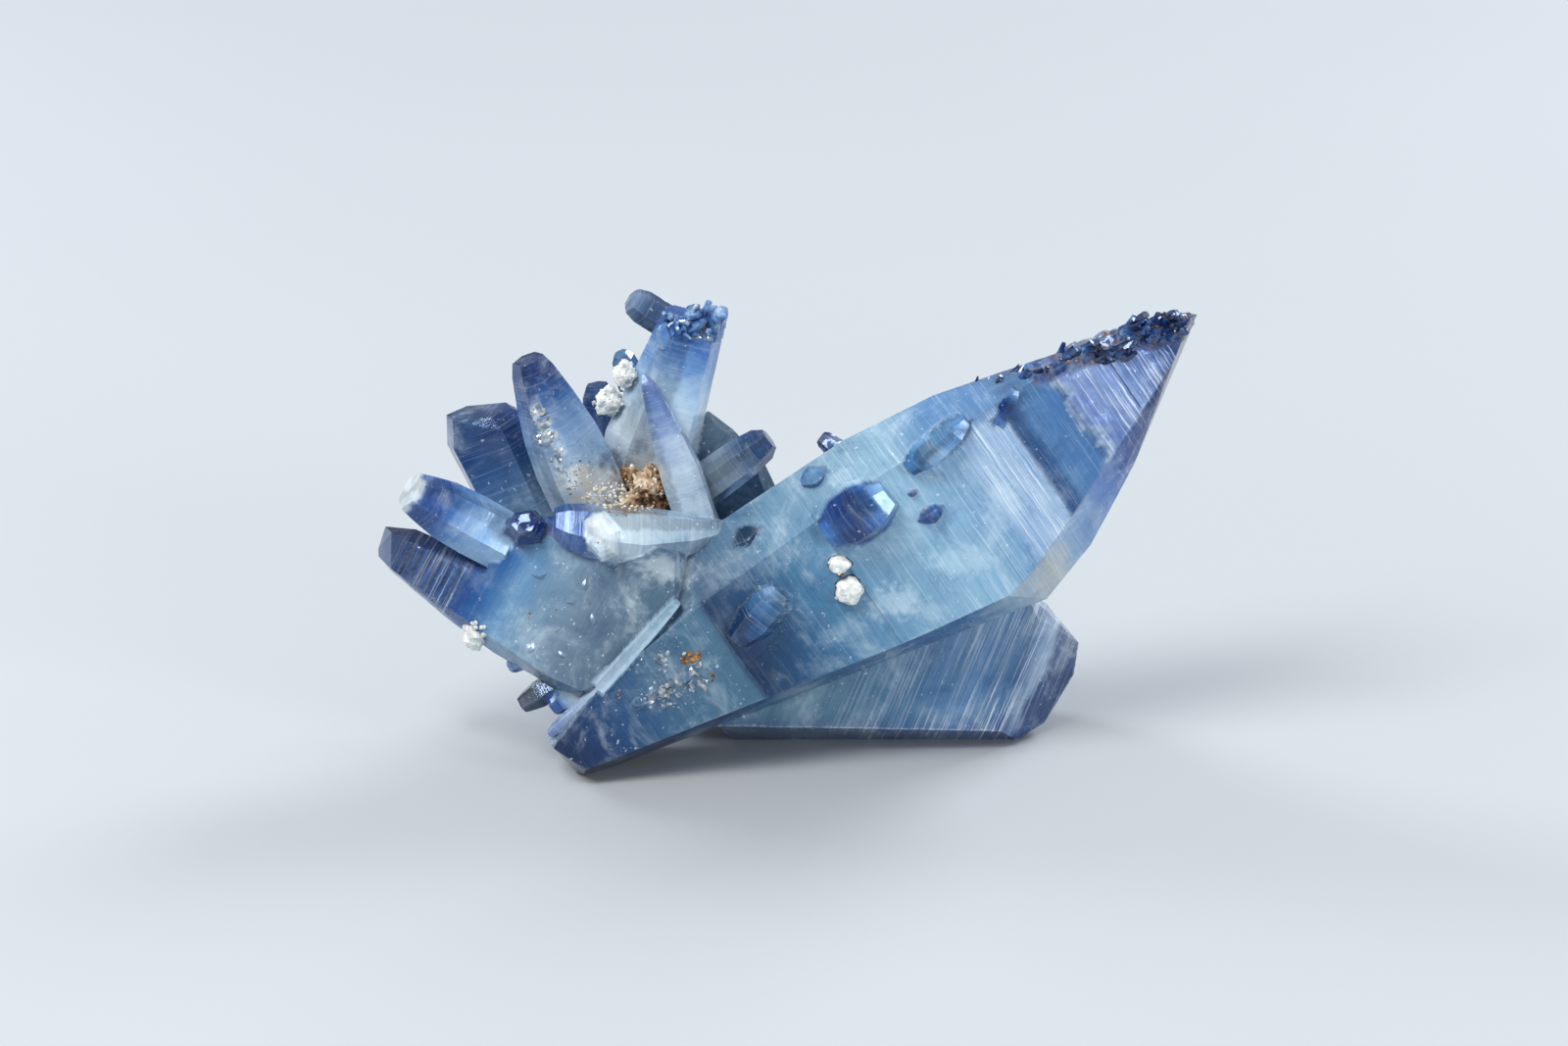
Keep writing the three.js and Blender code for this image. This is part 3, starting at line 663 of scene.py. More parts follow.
# The spindle's colour along its length in millimetres from the lower end, and what each stretch does.
SPINDLE_STOPS = (
    (0.0, "#0a2048"), (3.0, "#14386c"), (6.0, "#2c5884"), (10.0, "#4a7290"), (15.4, "#577f98"),
    (16.0, "#123a66"), (20.0, "#245a86"), (24.0, "#4f86aa"), (30.0, "#84b0cc"), (35.0, "#a0cae2"),
    (39.9, "#86b2d6"), (40.5, "#b0cdec"), (44.2, "#b0ccec"), (44.8, "#174a7e"), (45.6, "#22598f"),
    (46.1, "#6a9ed0"), (47.6, "#5a90c8"), (49.2, "#4a80bc"), (49.7, "#c4d6ee"), (50.4, "#7c94d0"),
    (54.0, "#8ea6dc"), (56.5, "#5f7cbc"), (58.5, "#274688"), (62.0, "#122656"),
)
SPINDLE_LINED = (
    (0.0, 0.1), (15.0, 0.15), (27.0, 0.25), (36.0, 0.45), (40.2, 0.55), (40.6, 1.0), (44.3, 1.0),
    (44.8, 0.3), (49.0, 0.3), (49.8, 1.0), (57.0, 1.0), (60.0, 0.6),
)
SPINDLE_HAZE = (
    (0.0, 0.9), (6.0, 0.85), (12.0, 0.88), (15.2, 0.8), (16.4, 0.6), (24.0, 0.85), (40.0, 0.9),
    (44.5, 0.85), (46.0, 0.55), (49.0, 0.7), (54.0, 0.85), (58.5, 0.75), (62.0, 0.75),
)
# The narrow face along the spindle's lower and right edge.
EDGE_STOPS = (
    (0.0, "#0c1c40"), (8.0, "#1c4478"), (20.0, "#1a4a80"), (33.0, "#3a6c9c"), (37.0, "#a8c0d4"),
    (41.0, "#d2d2cc"), (43.5, "#98bade"), (48.0, "#5a86cc"), (52.0, "#1f468c"), (57.0, "#0e2452"),
    (61.0, "#0a1530"),
)
LYING_STOPS = (
    (0.0, "#5c8296"), (6.0, "#6c96a8"), (12.0, "#5f8cb0"), (18.0, "#6c98c4"), (21.0, "#4a74a4"),
    (22.4, "#b0c4d8"), (22.9, "#2c4878"), (26.0, "#1e365e"), (30.0, "#2c4874"),
)
MASS_STOPS = (
    (0.0, "#5a7286"), (2.5, "#6b8296"), (4.5, "#7a90a4"), (7.5, "#7a9cb8"), (9.4, "#6c9cc6"),
    (11.0, "#3f78b8"), (12.8, "#1f529c"), (13.6, "#3a5a90"), (16.6, "#3c5484"), (18.6, "#2c4070"),
    (20.6, "#4a5c88"),
)

# Where the big crystals end, as places across and up. The first follows the spindle's upper edge.
ABOVE_SPINDLE = ((-18.7, -0.3), (-14.3, 5.2), (-7.5, 10.9), (-7.4, 16.4), (40, 60))
BELOW_SPINDLE = (
    (-19, -1), (-16.2, -2.6), (-8, 0.8), (9.6, 7.4), (18.2, 11), (21.5, 11.9), (25, 16.2), (28.4, 22.7),
    (33.3, 34),
)
ABOVE_LYING = ((-5.4, 9.5), (-3.2, 9.6), (8, 13.7), (19.6, 12.9), (20.9, 12.7), (24.4, 8.6))
# The mass's haze, its lines and how strong its ladder of ridges is, along its length.
MASS_HAZE = ((0, 0.95), (9, 0.9), (11, 0.6), (14, 0.65), (20, 0.4))
MASS_LINED = ((0, 0.08), (9, 0.1), (13.2, 0.15), (13.6, 0.8), (19, 0.5), (20, 0.2))
MASS_LADDER = ((13.3, 0), (13.7, 1), (18.4, 1), (19, 0))
# The lying crystal's haze, its lines and how deep its stripes are, along its length.
LYING_HAZE = ((0, 0.9), (12, 0.8), (21, 0.75), (23, 0.9), (26, 0.95))
LYING_LINED = ((0, 0.1), (5, 0.15), (9, 0.35), (14, 0.55), (21, 0.85), (23, 0.35), (27, 0.3))
LYING_STRIPES = ((0, 0.4), (4, 1), (21, 1), (23, 0.25))
# How dark its foot is and how pale its upper part is, by the place up.
LYING_FOOT = ((0.4, 1), (2.6, 0))
LYING_PALE = ((4, 0), (12, 0.45))
# How ragged the spindle's bands are, how high its steps and how pale its upper bevel, along its length.
SPINDLE_RAGGED = ((30, 0.0), (48, 0.25), (49.5, 1.1), (56, 1.4))
SPINDLE_STEPS = ((49.3, 0), (49.8, 0.22), (52.2, 0.05), (52.5, 0.25), (54.8, 0.06), (55.1, 0.24), (58, 0))
SPINDLE_STRIP = ((0, 0.15), (8, 0.4), (40, 0.4), (47, 0.0))
# Where the blue field above the silky band lies, across the spindle and along it.
FIELD_ACROSS = ((2.7, 0), (3.5, 1))
FIELD_ALONG = ((36, 0), (39, 1), (47, 1), (49, 0))
# How pale the edges are painted on the mass, on the spindle and elsewhere, and what a sunk crystal's are
# scaled by.
# The pale edges are partly chipped wear and partly a painted highlight along each edge.
WEAR_AND_SHINE_MASS, WEAR_AND_SHINE_SPINDLE, WEAR_AND_SHINE_OTHERS, WEAR_AND_SHINE_SUNK = 0.45, 0.62, 0.85, 0.85

# Stains and painted light as (x, place up as seen, half width, half height, colour, strength).
STAINS_AND_PAINTED_LIGHT = (
    (-15.4, 21.3, 3.4, 2.0, "#aea18d", 0.8),
    (-12.6, 19.5, 3.0, 1.0, "#6d4c33", 0.8),
    (-11.0, 21.6, 2.0, 2.0, "#c6b49a", 0.6),
    # Painted shade: dark grey-blue where the hollow above the crust lies in shade, here and two lines down.
    (-14.0, 23.3, 1.5, 1.3, "#46536a", 0.7),
    (-13.2, 21.0, 1.6, 1.4, "#6e5a48", 0.7),
    (-11.9, 24.2, 1.2, 0.8, "#4c5a70", 0.6),
    (-8.9, 5.6, 3.4, 2.7, "#6c8496", 0.5),
    (-7.6, 7.0, 1.0, 0.6, "#b98a4a", 0.6),
    (29.4, 33.7, 1.5, 0.6, "#9a6a34", 0.6),
    (20.6, 30.3, 1.8, 0.4, "#7a5c40", 0.5),
    # Painted glint: a white streak down the tall crystal where a bright facet reflects the light, these four
    # lines.
    (-20.1, 26.9, 0.45, 1.3, "#e2edf4", 0.8),
    (-19.3, 25.3, 0.8, 1.3, "#e6f0f6", 0.8),
    (-18.2, 23.3, 0.7, 1.7, "#d4e0e8", 0.6),
    (-17.2, 21.6, 0.8, 1.2, "#dfe6ea", 0.7),
    (8.8, 11.6, 2.8, 1.7, "#d4e6f0", 0.45),
    (14.6, 15.0, 3.0, 1.6, "#cfe4f0", 0.4),
    (17.6, 19.4, 2.0, 2.2, "#d4e6f2", 0.4),
    (-9.6, 14.4, 2.8, 1.5, "#c9d4da", 0.5),
    (4.6, 21.6, 1.6, 0.9, "#c4dae8", 0.5),
    (12.6, 23.0, 1.4, 1.2, "#b4d2e8", 0.4),
    (-7.2, 34.6, 1.2, 0.6, "#a58a6a", 0.4),
)


def graded(stops: Sequence[tuple[float, str]], where: np.ndarray) -> np.ndarray:
    """Reads a run of colour stops at many places.

    Args:
        stops: Places and web colours, in order.
        where: The places to read.

    Returns:
        One linear colour for each place.
    """
    places = [place for place, _ in stops]
    shades = np.array([colour(code)[:3] for _, code in stops])
    return np.stack([np.interp(where, places, shades[:, i]) for i in range(3)], axis=1)


def levels(stops: Sequence[tuple[float, float]], where: np.ndarray) -> np.ndarray:
    """Reads a run of number stops at many places."""
    return np.interp(where, [place for place, _ in stops], [level for _, level in stops])


def mixed(shades: np.ndarray, share: np.ndarray, code: str) -> np.ndarray:
    """Mixes a web colour into rows of linear colours.

    Args:
        shades: Rows of red, green and blue.
        share: How much of the colour goes into each row.
        code: The colour.

    Returns:
        The mixed rows.
    """
    return shades * (1 - share[:, None]) + np.array(colour(code)[:3]) * share[:, None]


def columns(*values: np.ndarray) -> np.ndarray:
    """Puts values side by side, a row for each point."""
    return np.stack(values, axis=1)


def rippled(points: np.ndarray, scale: float, octaves: int = 2, shift: float = 0.0) -> np.ndarray:
    """Reads smooth noise at many points.

    Args:
        points: Rows of x, y and z.
        scale: How many ripples there are to a unit of length.
        octaves: How many finer layers are added.
        shift: Moves the pattern, for a second one unlike the first.

    Returns:
        One value from about -1 to 1 for each point.
    """
    moved = points * scale + shift
    return np.array([noise.fractal(Vector(p), 1.0, 2.0, octaves) for p in moved])


@dataclass(frozen=True)
class Way:
    """How a big crystal lies in the front view: where it starts and the way its length runs."""

    foot: tuple[float, float]
    toward: tuple[float, float]
    hand: int = 1

    def measured(self, x: np.ndarray, seen: np.ndarray) -> tuple[np.ndarray, np.ndarray]:
        """Measures places along the crystal and across it.

        Args:
            x: Places across the view.
            seen: Places up, as seen from the front.

        Returns:
            Millimetres along from the foot, and millimetres to one side.
        """
        right, up = x - self.foot[0], seen - self.foot[1]
        run = right * self.toward[0] + up * self.toward[1]
        return run, (up * self.toward[0] - right * self.toward[1]) * self.hand


SPINDLE_REACH = (50.6, 35.6)
SPINDLE_LONG = math.hypot(*SPINDLE_REACH)
SPINDLE_WAY = Way((-17.4, -0.9), (SPINDLE_REACH[0] / SPINDLE_LONG, SPINDLE_REACH[1] / SPINDLE_LONG))
MASS_WAY = Way((-14.5, 6.5), (-0.88, 0.475), -1)
LYING_WAY = Way((-2, 9), (0.92, -0.39), -1)


class Mesher:
    """Shared ways of making a fine closed mesh out of a CAD node or a bmesh."""

    @staticmethod
    def copied(node: str) -> bmesh.types.BMesh:
        """Copies a CAD node's mesh and joins its loose triangles.

        Args:
            node: The node's name.

        Returns:
            The copy.
        """
        bm = bmesh.new()
        bm.from_mesh(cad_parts[node].data)
        bmesh.ops.remove_doubles(bm, verts=bm.verts, dist=1e-6)
        return bm

    @staticmethod
    def refine(bm: bmesh.types.BMesh, longest: float, towards: Vector | None = None) -> None:
        """Cuts edges in half until none is longer than a length.

        Args:
            bm: The mesh.
            longest: The longest edge allowed, in metres.
            towards: Where given, only faces that look this way are cut.
        """
        for _ in range(14):
            long_edges = [edge for edge in bm.edges if edge.calc_length() > longest]
            if towards is not None:
                bm.normal_update()
                long_edges = [e for e in long_edges if max(f.normal.dot(towards) for f in e.link_faces) > 0.1]
            if not long_edges:
                return
            bmesh.ops.subdivide_edges(bm, edges=long_edges, cuts=1)
            wide_faces = [face for face in bm.faces if len(face.verts) > 3]
            bmesh.ops.triangulate(bm, faces=wide_faces, quad_method="SHORT_EDGE", ngon_method="BEAUTY")

    @staticmethod
    def shown(
        bm: bmesh.types.BMesh, name: str, finish: bpy.types.Material, smooth: bool = True
    ) -> bpy.types.Object:
        """Makes a scene object out of a bmesh, at the origin.

        Args:
            bm: The mesh, which is freed.
            name: The object's name.
            finish: Its material.
            smooth: Whether faces are shaded smoothly.

        Returns:
            The object.
        """
        for face in bm.faces:
            face.smooth = smooth
        mesh = bpy.data.meshes.new(name)
        bm.to_mesh(mesh)
        bm.free()
        mesh.materials.append(finish)
        piece = bpy.data.objects.new(name, mesh)
        bpy.context.scene.collection.objects.link(piece)
        return piece


@dataclass(frozen=True)
class Seat:
    """A place on a surface, in metres, with the way that the surface faces there."""

    place: Vector
    facing: Vector


# Seats with the size in millimetres of what sits on each.
Seats = list[tuple[Seat, float]]


class Skin:
    """The finished surface of the sapphire, which grains and flakes are seated on."""

    sight = Vector((0, math.cos(SEEN_FROM), -math.sin(SEEN_FROM)))
    before = -60

    def __init__(self, bm: bmesh.types.BMesh, origin: Vector) -> None:
        """Keeps a search tree of the surface.

        Args:
            bm: The finished mesh.
            origin: Where the design's origin lies.
        """
        self.tree = BVHTree.FromBMesh(bm)
        self.origin = origin

    def seen_at(self, x: float, seen: float) -> Seat | None:
        """Finds the surface that shows at a place seen from the front.

        Args:
            x: Place across, in design millimetres.
            seen: Place up, as seen from the front.

        Returns:
            The seat there, or None where nothing is hit.
        """
        start = leaned(at(x, seen, self.before)) * MM + self.origin
        place, facing, _, _ = self.tree.ray_cast(start, self.sight)
        return None if place is None else Seat(place, facing)


@dataclass
class SapphireCrystals:
    """The grown-together sapphire, cut finer, with growth relief and its colours kept on the mesh."""

    node: str = "sapphire_crystals"
    name: str = "sapphire_crystals_grown"
    detail: Detail = Detail.FULL
    above_floor: float = 0.2
    smoothing: float = 0.35
    origin: Vector = field(default_factory=design_origin)
    skin: Skin | None = None

    def build(self) -> bpy.types.Object:
        """Builds the piece, keeps its surface as skin and puts it in the CAD node's place.

        Returns:
            The piece.
        """
        bm = Mesher.copied(self.node)
        Mesher.refine(bm, self.detail.value * BACK_COARSER * MM)
        Mesher.refine(bm, self.detail.value * MM, -Skin.sight)
        bm.verts.ensure_lookup_table()
        bm.normal_update()
        edge = self._sharpness(bm)
        creases = [e for e in bm.edges if e.is_manifold and e.calc_face_angle() > SHARP]
        points = (np.array([v.co for v in bm.verts]) - np.array(self.origin)) / MM
        normals = np.array([v.normal for v in bm.verts])
        paint = Painter(points, normals, edge)
        paint.run()
        moved = points + normals * paint.relief[:, None]
        for vert, place in zip(bm.verts, moved):
            vert.co = Vector(place) * MM + self.origin
            vert.co.z = max(vert.co.z, 0.0)
        bm.normal_update()
        for crease in creases:
            crease.smooth = False
        kept = {v for crease in creases for v in crease.verts}
        worn = [v for v in bm.verts if v.co.z > self.above_floor * MM and v not in kept]
        bmesh.ops.smooth_vert(
            bm, verts=worn, factor=self.smoothing, use_axis_x=True, use_axis_y=True, use_axis_z=True
        )
        self.skin = Skin(bm, self.origin)
        piece = Mesher.shown(bm, self.name, SapphireFinish().material())
        self._keep(piece.data, "tint", "FLOAT_COLOR", np.hstack([paint.tint, np.ones((len(points), 1))]))
        self._keep(piece.data, "growth", "FLOAT_VECTOR", columns(paint.haze, paint.lined, edge))
        self._keep(piece.data, "grain", "FLOAT_VECTOR", paint.grain)
        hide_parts(self.node)
        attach(piece, "root")
        return piece

    @staticmethod
    def _sharpness(bm: bmesh.types.BMesh) -> np.ndarray:
        """Marks the points that lie on sharp edges.

        Args:
            bm: The mesh.

        Returns:
            How sharp the sharpest edge at each point is, from 0 to 1.
        """
        sharp = np.zeros(len(bm.verts))
        for edge in bm.edges:
            if edge.is_manifold and edge.calc_face_angle() > SHARP:
                strength = min(1.0, edge.calc_face_angle())
                for vert in edge.verts:
                    sharp[vert.index] = max(sharp[vert.index], strength)
        return sharp

    @staticmethod
    def _keep(mesh: bpy.types.Mesh, name: str, kind: str, values: np.ndarray) -> None:
        """Stores values on the mesh's points.

        Args:
            mesh: The mesh.
            name: The attribute's name, which the material reads.
            kind: Its type.
            values: One row for each point.
        """
        attribute = mesh.attributes.new(name, kind, "POINT")
        key = "color" if kind == "FLOAT_COLOR" else "vector"
        attribute.data.foreach_set(key, values.astype(np.float32).ravel())


class Painter:
    """Works out, for every point of the sapphire, its crystal, colour, haze, lines and growth relief."""

    cooler = np.array([0.88, 0.92, 0.94])
    lying_pale = "#a9bccd"
    lying_foot = "#22427e"
    strip_pale = "#9cbcd2"
    field_blue = "#6c96c4"
    rust = "#9a6330"
    rung_apart = 0.85
    rung_high = 0.2
    stripe_high = 0.07
    bevel_from, bevel_to = 0.12, 9.6
    spindle_from, spindle_to = -1.6, 11.6
    spindle_left, spindle_whole_from = -19.8, -7.3
    lying_front, lying_left = -5.02, -5.6
    kept_on_creases = 0.35

    def __init__(self, points: np.ndarray, normals: np.ndarray, edge: np.ndarray) -> None:
        """Starts with plain values.

        Args:
            points: Places in design millimetres, leaned back.
            normals: Outward directions.
            edge: How sharp an edge each point is on.
        """
        upright = points[:, 2] / SHORTER
        points = columns(points[:, 0], points[:, 1] - LEAN * upright, upright)
        self.points = points
        self.normals = normals
        self.edge = edge
        count = len(points)
        self.tint = np.zeros((count, 3))
        self.haze = np.full(count, 0.8)
        self.lined = np.full(count, 0.2)
        self.grain = np.zeros((count, 3))
        self.relief = np.zeros(count)
        self.x = points[:, 0]
        self.y = points[:, 1]
        self.seen = points[:, 2] * math.cos(SEEN_FROM) + points[:, 1] * math.sin(SEEN_FROM)

    def run(self) -> None:
        """Paints the big crystals, then the fan and the small ones over them."""
        crease = self.edge > 0.5
        spindle, lying, mass = self._regions()
        self._mass(mass)
        self._lying(lying)
        self._spindle(spindle)
        self.edge *= np.select([mass, spindle], [WEAR_AND_SHINE_MASS, WEAR_AND_SHINE_SPINDLE], WEAR_AND_SHINE_OTHERS)
        self._fan()
        self._stain_and_paint_light()
        self.tint *= self.cooler
        self.relief[crease] *= self.kept_on_creases

    def _regions(self) -> tuple[np.ndarray, np.ndarray, np.ndarray]:
        """Tells the spindle, the lying crystal and the mass apart.

        Returns:
            Which points lie on each of the three.
        """
        depth = self.y - spindle_front(self.x, self.seen)
        within = (depth > self.spindle_from) & (depth < self.spindle_to)
        above, below = levels(ABOVE_SPINDLE, self.x), levels(BELOW_SPINDLE, self.x)
        spindle = within & (self.x > self.spindle_left)
        spindle &= (self.seen < above + 0.2) & (self.seen > below - 1.2)
        spindle |= within & (self.seen > below - 0.6) & (self.x > self.spindle_whole_from)
        behind = self.y > self.lying_front + FRONT_ACROSS * self.x
        lying = behind & (self.x > self.lying_left) & (self.seen < levels(ABOVE_LYING, self.x) + 0.3)
        spindle &= ~lying
        return spindle, lying, ~spindle & ~lying

    def _mass(self, here: np.ndarray) -> None:
        """Paints the broad mass at the lower left, with its ladder of ridges near the tip.

        Args:
            here: Which points lie on it.
        """
        run, across = MASS_WAY.measured(self.x[here], self.seen[here])
        warp = 0.5 * rippled(self.points[here], 0.35, 3)
        ladder = levels(MASS_LADDER, run) * (self.normals[here][:, 1] < -0.5)
        rungs = np.abs(((run + 0.2 * warp) / self.rung_apart) % 1 - 0.5) * 2 - 0.5
        self.tint[here] = graded(MASS_STOPS, run + warp) * (1 + 1.5 * ladder * rungs)[:, None]
        self.haze[here] = levels(MASS_HAZE, run)
        self.lined[here] = levels(MASS_LINED, run)
        self.grain[here] = columns(run, across, self.y[here])
        self.relief[here] += ladder * self.rung_high * rungs + 0.04 * rippled(self.points[here], 0.6, 2)

    def _lying(self, here: np.ndarray) -> None:
        """Paints the crystal under the spindle, with lines leaning across it and a dark clear end.

        Args:
            here: Which points lie on it.
        """
        y, seen = self.y[here], self.seen[here]
        run, across = LYING_WAY.measured(self.x[here], seen)
        warp = 0.5 * rippled(self.points[here], 0.3, 3)
        pale = levels(LYING_PALE, seen + 0.5 * warp) * (run < 21)
        foot = levels(LYING_FOOT, seen - 0.12 * warp) * 0.8
        shade = mixed(graded(LYING_STOPS, run + warp), pale, self.lying_pale)
        self.tint[here] = mixed(shade, foot, self.lying_foot)
        self.haze[here] = levels(LYING_HAZE, run)
        self.lined[here] = levels(LYING_LINED, run)
        self.grain[here] = columns(run, across, y)
        stripes = rippled(columns(run * 1.5, across * 0.05, y * 0.05), 1.0, 3)
        self.relief[here] += self.stripe_high * stripes * levels(LYING_STRIPES, run)

    def _spindle(self, here: np.ndarray) -> None:
        """Paints the big spindle: bands across it, ragged steps near the tip and darker ends.

        Args:
            here: Which points lie on it.
        """
        x, seen = self.x[here], self.seen[here]
        run, across = SPINDLE_WAY.measured(x, seen)
        depth = self.y[here] - spindle_front(x, seen)
        warp = rippled(self.points[here], 0.5, 3)
        teeth = rippled(columns(across * 1.1, run * 0.15, depth * 0), 1.0, 3, 7.0)
        jagged = run + 0.08 * warp + levels(SPINDLE_RAGGED, run) * teeth
        bevel = (depth > self.bevel_from) & (depth < self.bevel_to)
        rim = np.where(bevel & (across < 0.4), 1.0, 0.0)
        strip = np.where(bevel & (across >= 0.4), 1.0, 0.0)
        field_share = levels(FIELD_ACROSS, across + 0.4 * warp) * levels(FIELD_ALONG, run)
        shade = np.where(rim[:, None] > 0, graded(EDGE_STOPS, run + warp), graded(SPINDLE_STOPS, jagged))
        shade = mixed(shade, strip * levels(SPINDLE_STRIP, run), self.strip_pale)
        self.tint[here] = mixed(shade, field_share, self.field_blue)
        self.haze[here] = np.maximum(levels(SPINDLE_HAZE, jagged), 0.85 * rim)
        lined = levels(SPINDLE_LINED, jagged)
        self.lined[here] = lined * (1 - 0.6 * rim) * (1 - 0.7 * field_share)
        self.grain[here] = columns(run + 0.06 * warp, across, depth)
        stripes = rippled(columns(run * 1.25, across * 0.06, depth * 0.06), 1.0, 3, 3.0)
        facing = np.abs(self.normals[here][:, 1]) > 0.6
        raised = self.stripe_high * stripes * lined + levels(SPINDLE_STEPS, jagged)
        self.relief[here] += facing * raised + 0.02 * warp

    def _stain_and_paint_light(self) -> None:
        """Stains the surface round the hollow, in the glinting patch and along the worn ends, and paints
        shade into the hollow and a glint down the tall crystal.
        """
        grit = rippled(self.points, 1.9, 3, 21.0)
        for x, seen, wide, tall, code, strength in STAINS_AND_PAINTED_LIGHT:
            away = np.hypot((self.x - x) / wide, (self.seen - seen) / tall)
            share = np.clip((1 - away) * 2.2 + grit * 1.1 - 0.25, 0, 1) * strength * (self.y < 3)
            share *= away < 1.25
            self.tint = mixed(self.tint, share, code)
            self.haze = np.clip(self.haze + 0.4 * share, 0, 1)

    def _fan(self) -> None:
        """Paints each smaller crystal over the points that lie on it."""
        proud = self.y - spindle_front(self.x, self.seen) < -0.06
        for group in (BROKEN_ENDS, FAN):
            best = np.full(len(self.points), Growth.outside)
            choice = np.full(len(self.points), -1)
            for number, one in enumerate(group):
                norm = one.measured(self.points)[0]
                if one.proud:
                    norm = np.where(proud, norm, Growth.outside)
                closer = (norm < best) & (norm < one.slack)
                best[closer] = norm[closer]
                choice[closer] = number
            for number, one in enumerate(group):
                here = choice == number
                if here.any():
                    self._crystal(here, one, number)

    def _crystal(self, here: np.ndarray, one: Growth, number: int) -> None:
        """Paints one small crystal.

        Args:
            here: Which points lie on it.
            one: The crystal.
            number: Its place in the list, which keeps its pattern apart from its neighbours'.
        """
        look = one.look
        _, share, across, deep, length = one.measured(self.points[here])
        warp = rippled(self.points[here], 0.6, 3, number * 3.7)
        # Painted facet shading: each facet is lightened or darkened by its own set amount, standing in for
        # facets that face the light differently; sunk crystals get more of it, ring by ring.
        facet = np.round(np.arctan2(deep, across) * 3 / math.pi)
        ring = 2 * np.round(share * 3) if one.proud else 0
        painted_facet_shade = 1 + (0.4 if one.proud else 0.2) * np.sin(facet * 2.3 + number + ring)
        shade = graded(look.stops, share + 0.05 * warp) * painted_facet_shade[:, None]
        if look.rust:
            spots = rippled(self.points[here], 1.1, 3, 50.0)
            shade = mixed(shade, np.clip((spots - 0.5 + look.rust) * 5, 0, 1) * 0.85, self.rust)
        self.tint[here] = shade
        self.haze[here] = look.haze[0] + (look.haze[1] - look.haze[0]) * np.clip(share, 0, 1)
        self.lined[here] = look.lined
        half = one.wide / 2
        self.grain[here] = columns(share * length, across * half + 40 * number, deep * half)
        stripes = rippled(columns(share * length * 1.6, across * 0.2, deep * 0.2), 1.0, 2, number)
        self.relief[here] = 0.03 * warp + look.lined * 0.05 * stripes
        if one.proud:
            self.edge[here] *= WEAR_AND_SHINE_SUNK
        if look.rough:
            self.relief[here] += look.rough * rippled(self.points[here], 1.3, 3, 9.0)


@dataclass
class Lump:
    """A CAD node of another mineral, cut finer and roughened."""

    node: str
    slot: str
    finish: bpy.types.Material
    cell: float = 0.22
    rough: float = 0.12
    scale: float = 1.6
    swell: float = 0.0
    smooth: bool = False

    def build(self) -> bpy.types.Object:
        """Builds the piece and puts it in the CAD node's place.

        Returns:
            The piece.
        """
        bm = Mesher.copied(self.node)
        Mesher.refine(bm, self.cell * MM)
        bm.normal_update()
        for vert in bm.verts:
            where = vert.co / MM * self.scale
            height = noise.fractal(where, 1.0, 2.0, 3) + 0.5 * noise.cell(where * 1.4)
            vert.co += vert.normal * (height * self.rough - self.rough * 0.6 + self.swell) * MM
        piece = Mesher.shown(bm, f"{self.node}_rough", self.finish, self.smooth)
        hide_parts(self.node)
        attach(piece, "root")
        return piece


class Shape(Enum):
    """What each tiny piece of a scatter looks like."""

    GRAIN = "a lumpy faceted grain"
    FLAKE = "a thin bright flake"
    CRYSTAL = "a short six-sided crystal"


